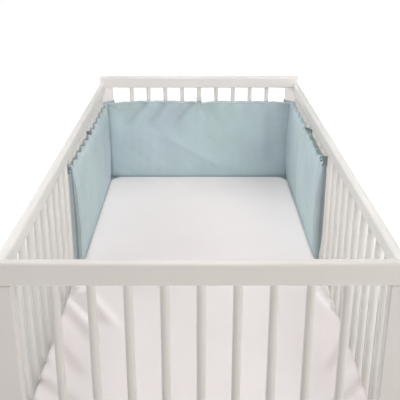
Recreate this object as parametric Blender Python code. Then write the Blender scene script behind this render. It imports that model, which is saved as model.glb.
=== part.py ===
"""A padded crib bumper tied round the head half of a cot bed, with the mattress that it fits.

Metres, +Z up. X runs across the cot, +Y towards its head, and the origin is on the floor under
the middle of the cot. The free ends of the bumper lie along the two long sides.
"""

import math
from collections import namedtuple

import bmesh
import bpy
import numpy as np
from mathutils import Matrix

TOUCH_GAP = 0.0003  # between two pieces that touch
RIBBON_THICKNESS = 0.0012

# Cot bed for a 70 x 140 cm mattress
END_RAIL_TOP = 0.860
END_RAIL_SIZE = (0.742, 0.025, 0.042)
END_RAIL_ROUNDING = 0.006
POST_SIZE = (0.045, 0.022)
POST_INNER_X = 0.325
END_Y = 0.715  # middle of each end's rails, posts and slats
SLAT_RADIUS = 0.00825
SLAT_SIDES = 12
END_SLATS = 9
END_PITCH = 0.0636
LOW_RAIL_TOP = 0.270
LOW_RAIL_HEIGHT = 0.040
SIDE_RAIL_DROP = 0.025  # top of the side rails, below the top of the end rails
SIDE_RAIL_SIZE = (0.020, 0.033)
SIDE_X = 0.362  # middle of each side's rails and slats
SIDE_SLATS = 21
SIDE_PITCH = 0.0645
RAIL_ROUNDING = 0.003
SLAT_SOCKET = 0.008

# Mattress in its fitted sheet, and the slatted base under it
MATTRESS_TOP = 0.475
MATTRESS_THICKNESS = 0.100
MATTRESS_HALF_WIDTH = 0.3445
MATTRESS_HEAD_Y = 0.683
MATTRESS_FOOT_Y = -0.697
MATTRESS_CORNER = 0.050
MATTRESS_EDGE = 0.022
MATTRESS_CORNER_STEPS = 5
MATTRESS_EDGE_STEPS = 2
BASE_THICKNESS = 0.030
BASE_HALF_WIDTH = 0.345
BASE_BEARER = 0.035
BASE_SLATS = 11
BASE_SLAT_SIZE = (0.070, 0.014)

# Bumper: its back follows the inner faces of the slats round the head of the cot
BACK_X = SIDE_X - SLAT_RADIUS
BACK_Y = END_Y - SLAT_RADIUS
BACK_CORNER = 0.018
CORNER_STEPS = 6
FIRST_STATION_GAP = 0.006  # between the rounded free end and the first station on a slat
LAST_STATION_GAP = 0.004  # between the last station of a panel and the corner
LEFT_END_Y = -0.036
RIGHT_END_Y = 0.024
CHANNEL_THICKNESS = 0.008
CHANNEL_FACING = 0.01  # how nearly diagonal the station on a sewn channel faces
# From a sewn corner channel to the full thickness; the head's right third falls away slowly
CrownRun = namedtuple("CrownRun", "panel left_corner right_corner")
CROWN_RUNS = (
    CrownRun("left", 0.034, 0.034),
    CrownRun("head", 0.026, 0.115),
    CrownRun("right", 0.026, 0.026),
)
SLAT_CLEARANCE = RIBBON_THICKNESS + 4 * TOUCH_GAP  # room for a tie between bumper and slat
POST_CLEARANCE = BACK_Y - (END_Y - POST_SIZE[1] / 2) + SLAT_CLEARANCE
POST_BLEND = (0.285, 0.315)  # the head panel moves forward, off the posts, between these
POST_BLEND_ROUND_CORNER = 2 / 3  # share of the corner over which it moves back
HEAD_BLEND = 0.060  # from the corner to the full depth of the head panel
SWELL = 0.009  # how far the back swells out between two slats
TUCK_CLEARANCE = 0.0008
TUCK_GAP = 0.0006  # between the bumper and the mattress
LINE_ABOVE_MATTRESS = 0.006
CREASE_START = 0.05  # share of the way down over which the creases grow from nothing

# The rounded free ends: inset from the end, share of the thickness
Inset = namedtuple("Inset", "inset share")
END_ROUNDING = (Inset(0.000, 0.35), Inset(0.003, 0.78), Inset(0.009, 1.00))
# Rows of the bumper above the mattress: share of the way down, thickness at a slat of the side
# and head panels, share of the swell of the back, share of it that the front follows
Row = namedtuple("Row", "place side head swell follow")
ROWS_ABOVE = (
    Row(0.000, 0.0050, 0.0050, 0.7, 1.00),
    Row(0.015, 0.0085, 0.0090, 0.7, 0.90),
    Row(0.050, 0.0115, 0.0130, 0.8, 0.55),
    Row(0.120, 0.0135, 0.0165, 0.9, 0.25),
    Row(0.240, 0.0155, 0.0195, 1.0, 0.10),
    Row(0.390, 0.0170, 0.0215, 1.0, 0.00),
    Row(0.550, 0.0185, 0.0225, 1.0, 0.00),
    Row(0.710, 0.0190, 0.0225, 1.0, 0.00),
    Row(0.860, 0.0180, 0.0220, 0.9, 0.00),
    Row(0.940, 0.0160, 0.0210, 0.7, 0.00),
    Row(1.000, 0.0130, 0.0195, 0.4, 0.00),
)
# Rows tucked beside the mattress: depth below its top, slack off its side
Tucked = namedtuple("Tucked", "depth slack")
ROWS_TUCKED = (
    Tucked(0.010, 0.0016),
    Tucked(0.024, 0.0000),
    Tucked(0.060, 0.0000),
)
# Height of the bumper's top edge below the end rails: place along the panel, drop
LEFT_TOP = (
    (-0.036, 0.0775),
    (0.018, 0.0812),
    (0.094, 0.0826),
    (0.177, 0.0858),
    (0.268, 0.0892),
    (0.380, 0.0925),
    (0.600, 0.0935),
    (0.690, 0.0985),
)
HEAD_TOP = (
    (-0.340, 0.0990),
    (-0.300, 0.0968),
    (-0.185, 0.0916),
    (-0.110, 0.0920),
    (-0.020, 0.0945),
    (0.000, 0.0945),
    (0.016, 0.0992),
    (0.048, 0.0938),
    (0.120, 0.0931),
    (0.340, 0.0955),
)
RIGHT_TOP = (
    (0.024, 0.0800),
    (0.056, 0.0850),
    (0.124, 0.0910),
    (0.188, 0.0896),
    (0.257, 0.0868),
    (0.314, 0.0866),
    (0.371, 0.0905),
    (0.535, 0.0904),
    (0.640, 0.0920),
    (0.690, 0.0955),
)
# Main creases on the front: where each starts and ends, along the panel and below its top edge
Crease = namedtuple("Crease", "panel start_along start_drop end_along end_drop width rise")
CREASES = (
    Crease("head", -0.205, 0.010, -0.275, 0.085, 0.016, -0.0035),
    Crease("head", -0.135, 0.015, -0.190, 0.090, 0.016, -0.0030),
    Crease("head", -0.025, 0.008, -0.085, 0.085, 0.016, -0.0035),
    Crease("head", 0.020, 0.010, 0.085, 0.090, 0.018, -0.0025),
    Crease("head", -0.120, 0.140, 0.085, 0.245, 0.022, 0.0025),
    Crease("head", 0.260, 0.050, 0.265, 0.220, 0.018, -0.0030),
    Crease("right", 0.250, 0.060, 0.230, 0.260, 0.020, 0.0025),
    Crease("right", 0.420, 0.080, 0.410, 0.280, 0.020, -0.0025),
    Crease("left", 0.480, 0.060, 0.520, 0.260, 0.024, -0.0020),
)

# Ribbon ties round the slats and the head posts
RIBBON_WIDTH = 0.010
POST_RING_RISE = 0.001  # middle of the ribbon above the bumper's top edge
POST_RING_TILT = 0.004  # the ribbon climbs towards its knot on the inner side of the post
KNOT_HALF = (0.0022, 0.0065, 0.0060)  # outward, sideways, up
TAIL_DROP = 0.048
TAIL_SPREAD = 0.013
POST_TAIL_SPREAD = 0.0013  # the ends behind the posts hang together
TAIL_START = 0.002  # from the middle of the knot to the middle of each free end
TAIL_WIDTH = 0.008
# Line of a free end: outward, share of the spread, share of the drop
TailPoint = namedtuple("TailPoint", "outward spread drop")
TAIL_LINE = (
    TailPoint(0.0002, 0.0, 0.00),
    TailPoint(0.0012, 0.2, 0.35),
    TailPoint(0.0004, 0.5, 0.70),
    TailPoint(0.0014, 1.0, 1.00),
)
# side is -1 left, 0 head, 1 right, and slat is counted from the middle of that side; width of
# the turns round the slat, and their middle above the bumper's top edge
SlatTie = namedtuple("SlatTie", "name side slat width rise")
SLAT_TIES = (
    SlatTie("tie_left_end", -1, 0, 0.018, -0.0145),
    SlatTie("tie_left_middle", -1, 5, 0.010, -0.0060),
    SlatTie("tie_head_middle", 0, 0, 0.010, 0.0020),
    SlatTie("tie_right_middle", 1, 5, 0.010, -0.0020),
    SlatTie("tie_right_end", 1, 1, 0.016, -0.0060),
)
PostTie = namedtuple("PostTie", "name side")
POST_TIES = (PostTie("tie_left_corner", -1), PostTie("tie_right_corner", 1))
# The long loose end of the right middle tie: way along the top edge, sideways, lift
LoosePoint = namedtuple("LoosePoint", "way sideways lift")
LOOSE_END = (
    LoosePoint(0.000, 0.0000, 0.0000),
    LoosePoint(0.020, 0.0004, 0.0006),
    LoosePoint(0.050, -0.0010, 0.0020),
    LoosePoint(0.085, -0.0016, 0.0004),
    LoosePoint(0.120, -0.0004, 0.0014),
    LoosePoint(0.155, 0.0002, 0.0004),
    LoosePoint(0.190, -0.0014, 0.0016),
    LoosePoint(0.225, -0.0008, 0.0006),
    LoosePoint(0.246, -0.0018, 0.0004),
)
LOOSE_WIDTH = 0.006
LOOSE_X = 0.3494
LOOSE_LIFT = 0.0016

PAINT = ("white_paint", (0.86, 0.84, 0.81, 1.0), 0.35)
SHEET = ("sheet_cotton", (0.88, 0.88, 0.89, 1.0), 0.90)
PAD_CLOTH = ("bumper_cloth", (0.40, 0.52, 0.54, 1.0), 0.85)
TIE_CLOTH = ("tie_cloth", (0.36, 0.47, 0.48, 1.0), 0.85)
BASE_WOOD = ("base_wood", (0.72, 0.58, 0.42, 1.0), 0.60)


def clear_scene():
    for obj in list(bpy.data.objects):
        bpy.data.objects.remove(obj)


def new_collection(name):
    made = bpy.data.collections.new(name)
    bpy.context.scene.collection.children.link(made)
    return made


def material(kind):
    name, colour, roughness = kind
    found = bpy.data.materials.get(name)
    if found:
        return found
    made = bpy.data.materials.new(name)
    made.use_nodes = True
    shader = made.node_tree.nodes["Principled BSDF"]
    shader.inputs["Base Color"].default_value = colour
    shader.inputs["Roughness"].default_value = roughness
    shader.inputs["Metallic"].default_value = 0.0
    return made


def add_object(name, mesh, kind, collection):
    obj = bpy.data.objects.new(name, mesh)
    mesh.materials.clear()
    mesh.materials.append(material(kind))
    collection.objects.link(obj)
    return obj


def mesh_from(bm, name):
    bmesh.ops.recalc_face_normals(bm, faces=bm.faces)
    mesh = bpy.data.meshes.new(name)
    bm.to_mesh(mesh)
    bm.free()
    return mesh


def box_mesh(name, size, centre, rounding=RAIL_ROUNDING):
    """A box with its edges rounded off by two narrow facets."""
    bm = bmesh.new()
    bmesh.ops.create_cube(bm, size=1.0)
    bmesh.ops.scale(bm, vec=size, verts=bm.verts)
    if rounding:
        bmesh.ops.bevel(bm, geom=bm.edges[:], offset=rounding, segments=2, profile=0.5, affect="EDGES")
    bmesh.ops.translate(bm, vec=centre, verts=bm.verts)
    return mesh_from(bm, name)


def rod_mesh(name, radius, low, high, x, y):
    """An upright round slat, with a flat facet towards each side of the cot."""
    across_corners = radius / math.cos(math.pi / SLAT_SIDES)
    bm = bmesh.new()
    bmesh.ops.create_cone(
        bm,
        cap_ends=True,
        segments=SLAT_SIDES,
        radius1=across_corners,
        radius2=across_corners,
        depth=high - low,
    )
    turn = Matrix.Rotation(math.pi / SLAT_SIDES, 3, "Z")
    bmesh.ops.rotate(bm, cent=(0, 0, 0), matrix=turn, verts=bm.verts)
    bmesh.ops.translate(bm, vec=(x, y, (low + high) / 2), verts=bm.verts)
    return mesh_from(bm, name)


def fuse(name, meshes, kind, collection):
    """One closed body from meshes that run into each other."""
    parts = new_collection(name + "_parts")
    body = add_object(name, meshes[0], kind, collection)
    for mesh in meshes[1:]:
        add_object(mesh.name, mesh, kind, parts)
    join = body.modifiers.new("join", "BOOLEAN")
    join.operation = "UNION"
    join.operand_type = "COLLECTION"
    join.collection = parts
    graph = bpy.context.evaluated_depsgraph_get()
    fused = bpy.data.meshes.new_from_object(body.evaluated_get(graph))
    body.modifiers.clear()
    body.data = fused
    fused.name = name
    for helper in list(parts.objects):
        bpy.data.objects.remove(helper)
    bpy.data.collections.remove(parts)
    return body


def smooth(share):
    share = min(max(share, 0.0), 1.0)
    return share * share * (3 - 2 * share)


def mix(a, b, share):
    return a + (b - a) * share


# ---------------------------------------------------------------- cot bed


def build_ends(cot):
    """Posts, top and bottom rails and round slats of the two ends."""
    height = END_RAIL_SIZE[2]
    rail_under = END_RAIL_TOP - height
    post_x = POST_INNER_X + POST_SIZE[0] / 2
    for end, sign in (("foot", -1), ("head", 1)):
        y = sign * END_Y
        centre = (0, y, END_RAIL_TOP - height / 2)
        rail = box_mesh(f"end_rail_{end}", END_RAIL_SIZE, centre, END_RAIL_ROUNDING)
        add_object(f"end_rail_{end}", rail, PAINT, cot)
        low_size = (2 * POST_INNER_X - 2 * TOUCH_GAP, POST_SIZE[1], LOW_RAIL_HEIGHT)
        low = box_mesh(f"low_rail_{end}", low_size, (0, y, LOW_RAIL_TOP - LOW_RAIL_HEIGHT / 2))
        add_object(f"low_rail_{end}", low, PAINT, cot)
        for side, side_sign in (("left", -1), ("right", 1)):
            tall = rail_under - TOUCH_GAP
            post = box_mesh(
                f"post_{end}_{side}", (*POST_SIZE, tall), (side_sign * post_x, y, tall / 2)
            )
            add_object(f"post_{end}_{side}", post, PAINT, cot)
        for i in range(END_SLATS):
            x = (i - (END_SLATS - 1) / 2) * END_PITCH
            name = f"slat_{end}_{i + 1}"
            slat = rod_mesh(
                name, SLAT_RADIUS, LOW_RAIL_TOP + TOUCH_GAP, rail_under - TOUCH_GAP, x, y
            )
            add_object(name, slat, PAINT, cot)


def build_sides(cot):
    """Each long side: two rails and its round slats, glued up as one piece."""
    top_length = 2 * (END_Y - END_RAIL_SIZE[1] / 2 - TOUCH_GAP)
    low_length = 2 * (END_Y - POST_SIZE[1] / 2 - TOUCH_GAP)
    thick, tall = SIDE_RAIL_SIZE
    top_middle = END_RAIL_TOP - SIDE_RAIL_DROP - tall / 2
    low_middle = LOW_RAIL_TOP - tall / 2
    for side, sign in (("left", -1), ("right", 1)):
        x = sign * SIDE_X
        name = f"side_{side}"
        meshes = [
            box_mesh(name, (thick, top_length, tall), (x, 0, top_middle)),
            box_mesh(name + "_low", (thick, low_length, tall), (x, 0, low_middle)),
        ]
        for k in range(SIDE_SLATS):
            y = (k - (SIDE_SLATS - 1) / 2) * SIDE_PITCH
            low = LOW_RAIL_TOP - SLAT_SOCKET
            high = top_middle - tall / 2 + SLAT_SOCKET
            meshes.append(rod_mesh(f"{name}_{k}", SLAT_RADIUS, low, high, x, y))
        fuse(name, meshes, PAINT, cot)


def build_base(cot):
    """The slatted base: two long bearers, two end bearers and cross slats, level on top."""
    top = MATTRESS_TOP - MATTRESS_THICKNESS - TOUCH_GAP
    middle = top - BASE_THICKNESS / 2
    length = 2 * (END_Y - POST_SIZE[1] / 2 - TOUCH_GAP)
    bearer_x = BASE_HALF_WIDTH - BASE_BEARER / 2
    bearer_y = (length - BASE_BEARER) / 2
    meshes = []
    for sign in (-1, 1):
        size = (BASE_BEARER, length, BASE_THICKNESS)
        meshes.append(box_mesh("base", size, (sign * bearer_x, 0, middle), rounding=0))
    for sign in (-1, 1):
        size = (2 * bearer_x, BASE_BEARER, BASE_THICKNESS)
        meshes.append(box_mesh("base_end", size, (0, sign * bearer_y, middle), rounding=0))
    span = (length - 2 * BASE_BEARER) / (BASE_SLATS + 1)
    for i in range(BASE_SLATS):
        y = (i + 1) * span - (length - 2 * BASE_BEARER) / 2
        size = (2 * bearer_x, *BASE_SLAT_SIZE)
        meshes.append(box_mesh("base_slat", size, (0, y, top - BASE_SLAT_SIZE[1] / 2), rounding=0))
    fuse("base", meshes, BASE_WOOD, cot)


def build_mattress(cot):
    """The mattress in its fitted sheet: round corners in plan and soft edges all round."""
    half_x = MATTRESS_HALF_WIDTH - MATTRESS_EDGE
    low_y = MATTRESS_FOOT_Y + MATTRESS_EDGE
    high_y = MATTRESS_HEAD_Y - MATTRESS_EDGE
    radius = MATTRESS_CORNER - MATTRESS_EDGE
    corners = (
        (half_x - radius, high_y - radius, 0),
        (-half_x + radius, high_y - radius, 90),
        (-half_x + radius, low_y + radius, 180),
        (half_x - radius, low_y + radius, 270),
    )
    points = []
    for x, y, start in corners:
        for i in range(MATTRESS_CORNER_STEPS + 1):
            angle = math.radians(start + 90 * i / MATTRESS_CORNER_STEPS)
            points.append((x + radius * math.cos(angle), y + radius * math.sin(angle)))
    curve = bpy.data.curves.new("mattress_outline", "CURVE")
    curve.dimensions = "2D"
    curve.fill_mode = "BOTH"
    curve.extrude = MATTRESS_THICKNESS / 2 - MATTRESS_EDGE
    curve.bevel_depth = MATTRESS_EDGE
    curve.bevel_resolution = MATTRESS_EDGE_STEPS
    line = curve.splines.new("POLY")
    line.points.add(len(points) - 1)
    for point, (x, y) in zip(line.points, points):
        point.co = (x, y, 0, 1)
    line.use_cyclic_u = True
    outline = bpy.data.objects.new("mattress_outline", curve)
    cot.objects.link(outline)
    outline.location.z = MATTRESS_TOP - MATTRESS_THICKNESS / 2
    graph = bpy.context.evaluated_depsgraph_get()
    mesh = bpy.data.meshes.new_from_object(outline.evaluated_get(graph))
    bm = bmesh.new()
    bm.from_mesh(mesh)
    bpy.data.meshes.remove(mesh)
    bmesh.ops.remove_doubles(bm, verts=bm.verts, dist=0.00001)
    obj = add_object("mattress", mesh_from(bm, "mattress"), SHEET, cot)
    obj.matrix_world = outline.matrix_world.copy()
    bpy.data.objects.remove(outline)


# ---------------------------------------------------------------- bumper


def top_edge(panel, along):
    """Height of the bumper's top edge, a little uneven between the ties."""
    table = {"left": LEFT_TOP, "head": HEAD_TOP, "right": RIGHT_TOP}[panel]
    places, drops = zip(*table)
    return END_RAIL_TOP - float(np.interp(along, places, drops))


def crease(panel, along, drop):
    """How far the front of the bumper rises or sinks at a place on a panel."""
    total = 0.0
    for c in CREASES:
        if c.panel != panel:
            continue
        run, fall = c.end_along - c.start_along, c.end_drop - c.start_drop
        ahead, below = along - c.start_along, drop - c.start_drop
        share = min(max((ahead * run + below * fall) / (run * run + fall * fall), 0.0), 1.0)
        far = math.hypot(ahead - share * run, below - share * fall)
        total += c.rise * math.exp(-((far / c.width) ** 2))
    return total


def swell_between(place, pitch):
    """0 where a slat presses on the back, 1 halfway to the next slat."""
    return (1 - math.cos(2 * math.pi * place / pitch)) / 2


def side_stations(sign, end_y):
    """Stations along one side, from its free end to the corner: on each slat and between slats."""
    panel = "left" if sign < 0 else "right"
    last = BACK_Y - BACK_CORNER
    inner = END_ROUNDING[-1].inset
    places = [(end_y + inset, share) for inset, share in END_ROUNDING]
    half = SIDE_PITCH / 2
    first = math.ceil((end_y + inner + FIRST_STATION_GAP) / half)
    places += [(k * half, 1.0) for k in range(first, int((last - LAST_STATION_GAP) / half) + 1)]
    return [
        {
            "panel": panel,
            "along": y,
            "x": sign * BACK_X,
            "y": y,
            "inward": (-sign, 0.0),
            "clearance": SLAT_CLEARANCE,
            "swell": swell_between(y, SIDE_PITCH) * share,
            "end_share": share,
            "head_share": 0.0,
        }
        for y, share in places
    ]


def corner_stations(sign):
    """Stations round one head corner, from the side to the head."""
    panel = "left" if sign < 0 else "right"
    cx, cy = BACK_X - BACK_CORNER, BACK_Y - BACK_CORNER
    found = []
    for i in range(CORNER_STEPS + 1):
        share = i / CORNER_STEPS
        angle = share * math.pi / 2
        out_x, out_y = sign * math.cos(angle), math.sin(angle)
        x, y = sign * cx + BACK_CORNER * out_x, cy + BACK_CORNER * out_y
        off_post = smooth(share / POST_BLEND_ROUND_CORNER)
        found.append(
            {
                "panel": panel if share < 0.5 else "head",
                "along": y if share < 0.5 else x,
                "x": x,
                "y": y,
                "inward": (-out_x, -out_y),
                "clearance": mix(SLAT_CLEARANCE, POST_CLEARANCE, off_post),
                "swell": 0.0,
                "end_share": 1.0,
                "head_share": 0.0,
            }
        )
    return found


def head_stations():
    """Stations along the head: four to each slat, so that its creases show."""
    last = BACK_X - BACK_CORNER
    quarter = END_PITCH / 4
    count = int((last - LAST_STATION_GAP) / quarter)
    found = []
    for k in range(-count, count + 1):
        x = k * quarter
        at_post = smooth((abs(x) - POST_BLEND[0]) / (POST_BLEND[1] - POST_BLEND[0]))
        found.append(
            {
                "panel": "head",
                "along": x,
                "x": x,
                "y": BACK_Y,
                "inward": (0.0, -1.0),
                "clearance": mix(SLAT_CLEARANCE, POST_CLEARANCE, at_post),
                "swell": swell_between(x, END_PITCH) * (1 - at_post),
                "end_share": 1.0,
                "head_share": smooth((last - abs(x)) / HEAD_BLEND),
            }
        )
    return found


def crown_shares(stations):
    """0 on the two sewn corner channels, 1 where a panel has its full thickness."""
    places = np.array([(s["x"], s["y"]) for s in stations])
    steps = np.linalg.norm(np.diff(places, axis=0), axis=1)
    along = np.concatenate([[0.0], np.cumsum(steps)])
    left, right = [
        place
        for place, station in zip(along, stations)
        if abs(abs(station["inward"][0]) - abs(station["inward"][1])) < CHANNEL_FACING
    ]
    runs = {run.panel: run for run in CROWN_RUNS}
    shares = []
    for place, station in zip(along, stations):
        run = runs[station["panel"]]
        from_left = smooth(abs(place - left) / run.left_corner)
        from_right = smooth(abs(place - right) / run.right_corner)
        shares.append(min(from_left, from_right))
    return shares


def bumper_section(station, crown):
    """One closed upright section: down the back, then up the front."""
    top = top_edge(station["panel"], station["along"])
    line = MATTRESS_TOP + LINE_ABOVE_MATTRESS
    side_edge = BACK_X - MATTRESS_HALF_WIDTH - TUCK_GAP
    head_edge = BACK_Y - MATTRESS_HEAD_Y - TUCK_GAP
    edge = mix(side_edge, head_edge, station["head_share"])
    clearance = station["clearance"]
    back, front = [], []

    def add_pair(z, behind, ahead):
        middle = (behind + ahead) / 2
        back.append((z, mix(middle, behind, station["end_share"])))
        front.append((z, mix(middle, ahead, station["end_share"])))

    for row in ROWS_ABOVE:
        z = mix(top, line, row.place)
        thickness = mix(row.side, row.head, station["head_share"])
        thickness = mix(min(CHANNEL_THICKNESS, thickness), thickness, crown)
        swell = SWELL * row.swell * station["swell"] * crown
        rise = crease(station["panel"], station["along"], top - z) * crown
        rise *= smooth(row.place / CREASE_START)
        add_pair(z, clearance - swell, clearance + thickness - row.follow * swell + rise)
    tuck_back = clearance - SLAT_CLEARANCE + TUCK_CLEARANCE
    for row in ROWS_TUCKED:
        add_pair(MATTRESS_TOP - row.depth, tuck_back, edge + row.slack)
    nx, ny = station["inward"]
    ring = back + front[::-1]
    return [(station["x"] + nx * n, station["y"] + ny * n, z) for z, n in ring]


def loft(name, sections):
    """A closed body through like sections, each a loop whose two halves face each other."""
    bm = bmesh.new()
    rings = [[bm.verts.new(p) for p in section] for section in sections]
    count = len(rings[0])
    for a, b in zip(rings, rings[1:]):
        for i in range(count):
            j = (i + 1) % count
            bm.faces.new((a[i], a[j], b[j], b[i]))
    for ring in (rings[0], rings[-1]):
        for i in range(count // 2 - 1):
            bm.faces.new((ring[i], ring[i + 1], ring[count - 2 - i], ring[count - 1 - i]))
    mesh = mesh_from(bm, name)
    mesh.shade_smooth()
    return mesh


def build_bumper(cot):
    stations = (
        side_stations(-1, LEFT_END_Y)
        + corner_stations(-1)
        + head_stations()
        + corner_stations(1)[::-1]
        + side_stations(1, RIGHT_END_Y)[::-1]
    )
    crowns = crown_shares(stations)
    sections = [bumper_section(s, c) for s, c in zip(stations, crowns)]
    add_object("bumper", loft("bumper", sections), PAD_CLOTH, cot)


# ---------------------------------------------------------------- ties


def ribbon_mesh(name, points, across, width, closed=False):
    """A flat ribbon along a line; across is the direction of its width."""
    line = np.array(points, float)
    before = np.roll(line, 1, axis=0)
    after = np.roll(line, -1, axis=0)
    if not closed:
        before[0], after[-1] = line[0], line[-1]
    wide = np.array(across, float)
    bm = bmesh.new()
    rings = []
    for point, start, end in zip(line, before, after):
        thin = np.cross(end - start, wide)
        thin = thin / np.linalg.norm(thin) * RIBBON_THICKNESS / 2
        half = wide * width / 2
        corners = (point + half + thin, point - half + thin, point - half - thin, point + half - thin)
        rings.append([bm.verts.new(corner) for corner in corners])
    pairs = list(zip(rings, rings[1:]))
    if closed:
        pairs.append((rings[-1], rings[0]))
    for a, b in pairs:
        for i in range(4):
            j = (i + 1) % 4
            bm.faces.new((a[i], a[j], b[j], b[i]))
    if not closed:
        bm.faces.new(rings[0])
        bm.faces.new(rings[-1])
    return mesh_from(bm, name)


def knot_mesh(name):
    bm = bmesh.new()
    bmesh.ops.create_uvsphere(bm, u_segments=8, v_segments=5, radius=1.0)
    bmesh.ops.scale(bm, vec=KNOT_HALF, verts=bm.verts)
    return mesh_from(bm, name)


def tail_mesh(name, sign, spread):
    """A short free end hanging from the knot, drawn about the middle of the knot."""
    points = [
        (p.outward, sign * (TAIL_START + p.spread * spread), -p.drop * TAIL_DROP)
        for p in TAIL_LINE
    ]
    return ribbon_mesh(name, points, (0, 1, 0), TAIL_WIDTH)


def place_mesh(mesh, angle, place):
    """Turns a mesh about Z, then moves it."""
    bm = bmesh.new()
    bm.from_mesh(mesh)
    bmesh.ops.rotate(bm, cent=(0, 0, 0), matrix=Matrix.Rotation(angle, 3, "Z"), verts=bm.verts)
    bmesh.ops.translate(bm, vec=place, verts=bm.verts)
    bm.to_mesh(mesh)
    bm.free()
    return mesh


def knot_and_tails(name, place, angle, spread):
    """The knot and its two free ends; angle turns their outward side from +X."""
    meshes = [knot_mesh(name + "_knot")]
    meshes += [tail_mesh(name + "_a", -1, spread), tail_mesh(name + "_b", 1, spread)]
    return [place_mesh(mesh, angle, place) for mesh in meshes]


def loose_end_mesh(name, start_y):
    """The long free end of the right middle tie, along the bumper's top edge."""
    points = []
    for p in LOOSE_END:
        y = start_y - p.way
        z = top_edge("right", y) + LOOSE_LIFT + p.lift
        points.append((LOOSE_X + p.sideways, y, z))
    return ribbon_mesh(name, points, (1, 0, 0), LOOSE_WIDTH)


def build_ties(cot):
    radius = SLAT_RADIUS + TOUCH_GAP + RIBBON_THICKNESS / 2
    across_corners = radius / math.cos(math.pi / SLAT_SIDES)
    for name, side, slat, width, rise in SLAT_TIES:
        along = slat * (END_PITCH if side == 0 else SIDE_PITCH)
        x, y = (along, END_Y) if side == 0 else (side * SIDE_X, along)
        panel = {-1: "left", 0: "head", 1: "right"}[side]
        outward = {-1: math.pi, 0: math.pi / 2, 1: 0.0}[side]
        z = top_edge(panel, along) + rise
        turns = [math.tau * (i + 0.5) / SLAT_SIDES for i in range(SLAT_SIDES)]
        ring = [
            (x + across_corners * math.cos(turn), y + across_corners * math.sin(turn), z)
            for turn in turns
        ]
        meshes = [ribbon_mesh(name, ring, (0, 0, 1), width, closed=True)]
        reach = SLAT_RADIUS + TOUCH_GAP + KNOT_HALF[0]
        place = (x + reach * math.cos(outward), y + reach * math.sin(outward), z)
        meshes += knot_and_tails(name, place, outward, TAIL_SPREAD)
        if name == "tie_right_middle":
            meshes.append(loose_end_mesh(name + "_loose", along))
        fuse(name, meshes, TIE_CLOTH, cot)
    off = TOUCH_GAP + RIBBON_THICKNESS / 2
    half_x, half_y = POST_SIZE[0] / 2 + off, POST_SIZE[1] / 2 + off
    for name, side in POST_TIES:
        x = side * (POST_INNER_X + POST_SIZE[0] / 2)
        z = top_edge("head", side * POST_INNER_X) + POST_RING_RISE
        ring = [
            (x + sx * half_x, END_Y + sy * half_y, z - sx * side * POST_RING_TILT)
            for sx, sy in ((1, 1), (-1, 1), (-1, -1), (1, -1))
        ]
        meshes = [ribbon_mesh(name, ring, (0, 0, 1), RIBBON_WIDTH, closed=True)]
        knot_x = side * (POST_INNER_X - TOUCH_GAP - KNOT_HALF[0])
        place = (knot_x, END_Y, z + POST_RING_TILT)
        meshes += knot_and_tails(name, place, math.pi if side > 0 else 0.0, POST_TAIL_SPREAD)
        fuse(name, meshes, TIE_CLOTH, cot)


def main():
    clear_scene()
    cot = new_collection("crib_bumper_on_cot")
    build_ends(cot)
    build_sides(cot)
    build_base(cot)
    build_mattress(cot)
    build_bumper(cot)
    build_ties(cot)


main()
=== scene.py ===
"""Looks of a padded crib bumper tied round the head half of a cot bed, laid out as an add-on.

Metres, +Z up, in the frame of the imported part: X across the cot, +Y towards its head.
In tables the key -1 is the left side of the cot and 1 its right side.
"""

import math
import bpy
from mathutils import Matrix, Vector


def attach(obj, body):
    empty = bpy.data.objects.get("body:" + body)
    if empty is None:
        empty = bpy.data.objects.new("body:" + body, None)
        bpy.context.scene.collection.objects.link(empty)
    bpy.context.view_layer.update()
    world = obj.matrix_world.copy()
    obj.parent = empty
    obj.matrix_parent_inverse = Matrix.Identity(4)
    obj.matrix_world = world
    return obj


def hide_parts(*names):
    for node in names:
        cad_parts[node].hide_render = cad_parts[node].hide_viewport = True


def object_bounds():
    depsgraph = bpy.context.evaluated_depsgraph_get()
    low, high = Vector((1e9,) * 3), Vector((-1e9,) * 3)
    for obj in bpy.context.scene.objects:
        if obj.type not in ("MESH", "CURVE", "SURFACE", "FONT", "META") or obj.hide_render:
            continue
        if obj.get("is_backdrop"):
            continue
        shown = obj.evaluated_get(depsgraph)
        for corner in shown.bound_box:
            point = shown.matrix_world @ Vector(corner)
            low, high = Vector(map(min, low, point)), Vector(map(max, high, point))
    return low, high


bl_info = {
    "name": "Crib bumper on a cot bed",
    "version": (1, 0, 0),
    "blender": (4, 5, 0),
    "location": "3D View > Sidebar > Cot",
    "description": "Builds the finished pieces of a crib bumper, its mattress and its cot bed",
    "category": "Object",
}

from collections import namedtuple
from types import SimpleNamespace

import bmesh
import bpy
import numpy as np
from bpy.props import FloatProperty, FloatVectorProperty, PointerProperty
from mathutils import Matrix, Vector

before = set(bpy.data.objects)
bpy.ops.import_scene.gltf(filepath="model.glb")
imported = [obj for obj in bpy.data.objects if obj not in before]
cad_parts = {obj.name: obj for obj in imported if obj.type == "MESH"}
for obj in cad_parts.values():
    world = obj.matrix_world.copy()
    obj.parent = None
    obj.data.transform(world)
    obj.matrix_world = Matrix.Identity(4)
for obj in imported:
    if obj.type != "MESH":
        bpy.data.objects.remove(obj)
CAD_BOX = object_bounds()


def table(fields, *rows):
    """Rows with a name for each of their values."""
    return tuple(map(namedtuple("Row", fields)._make, rows))


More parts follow.
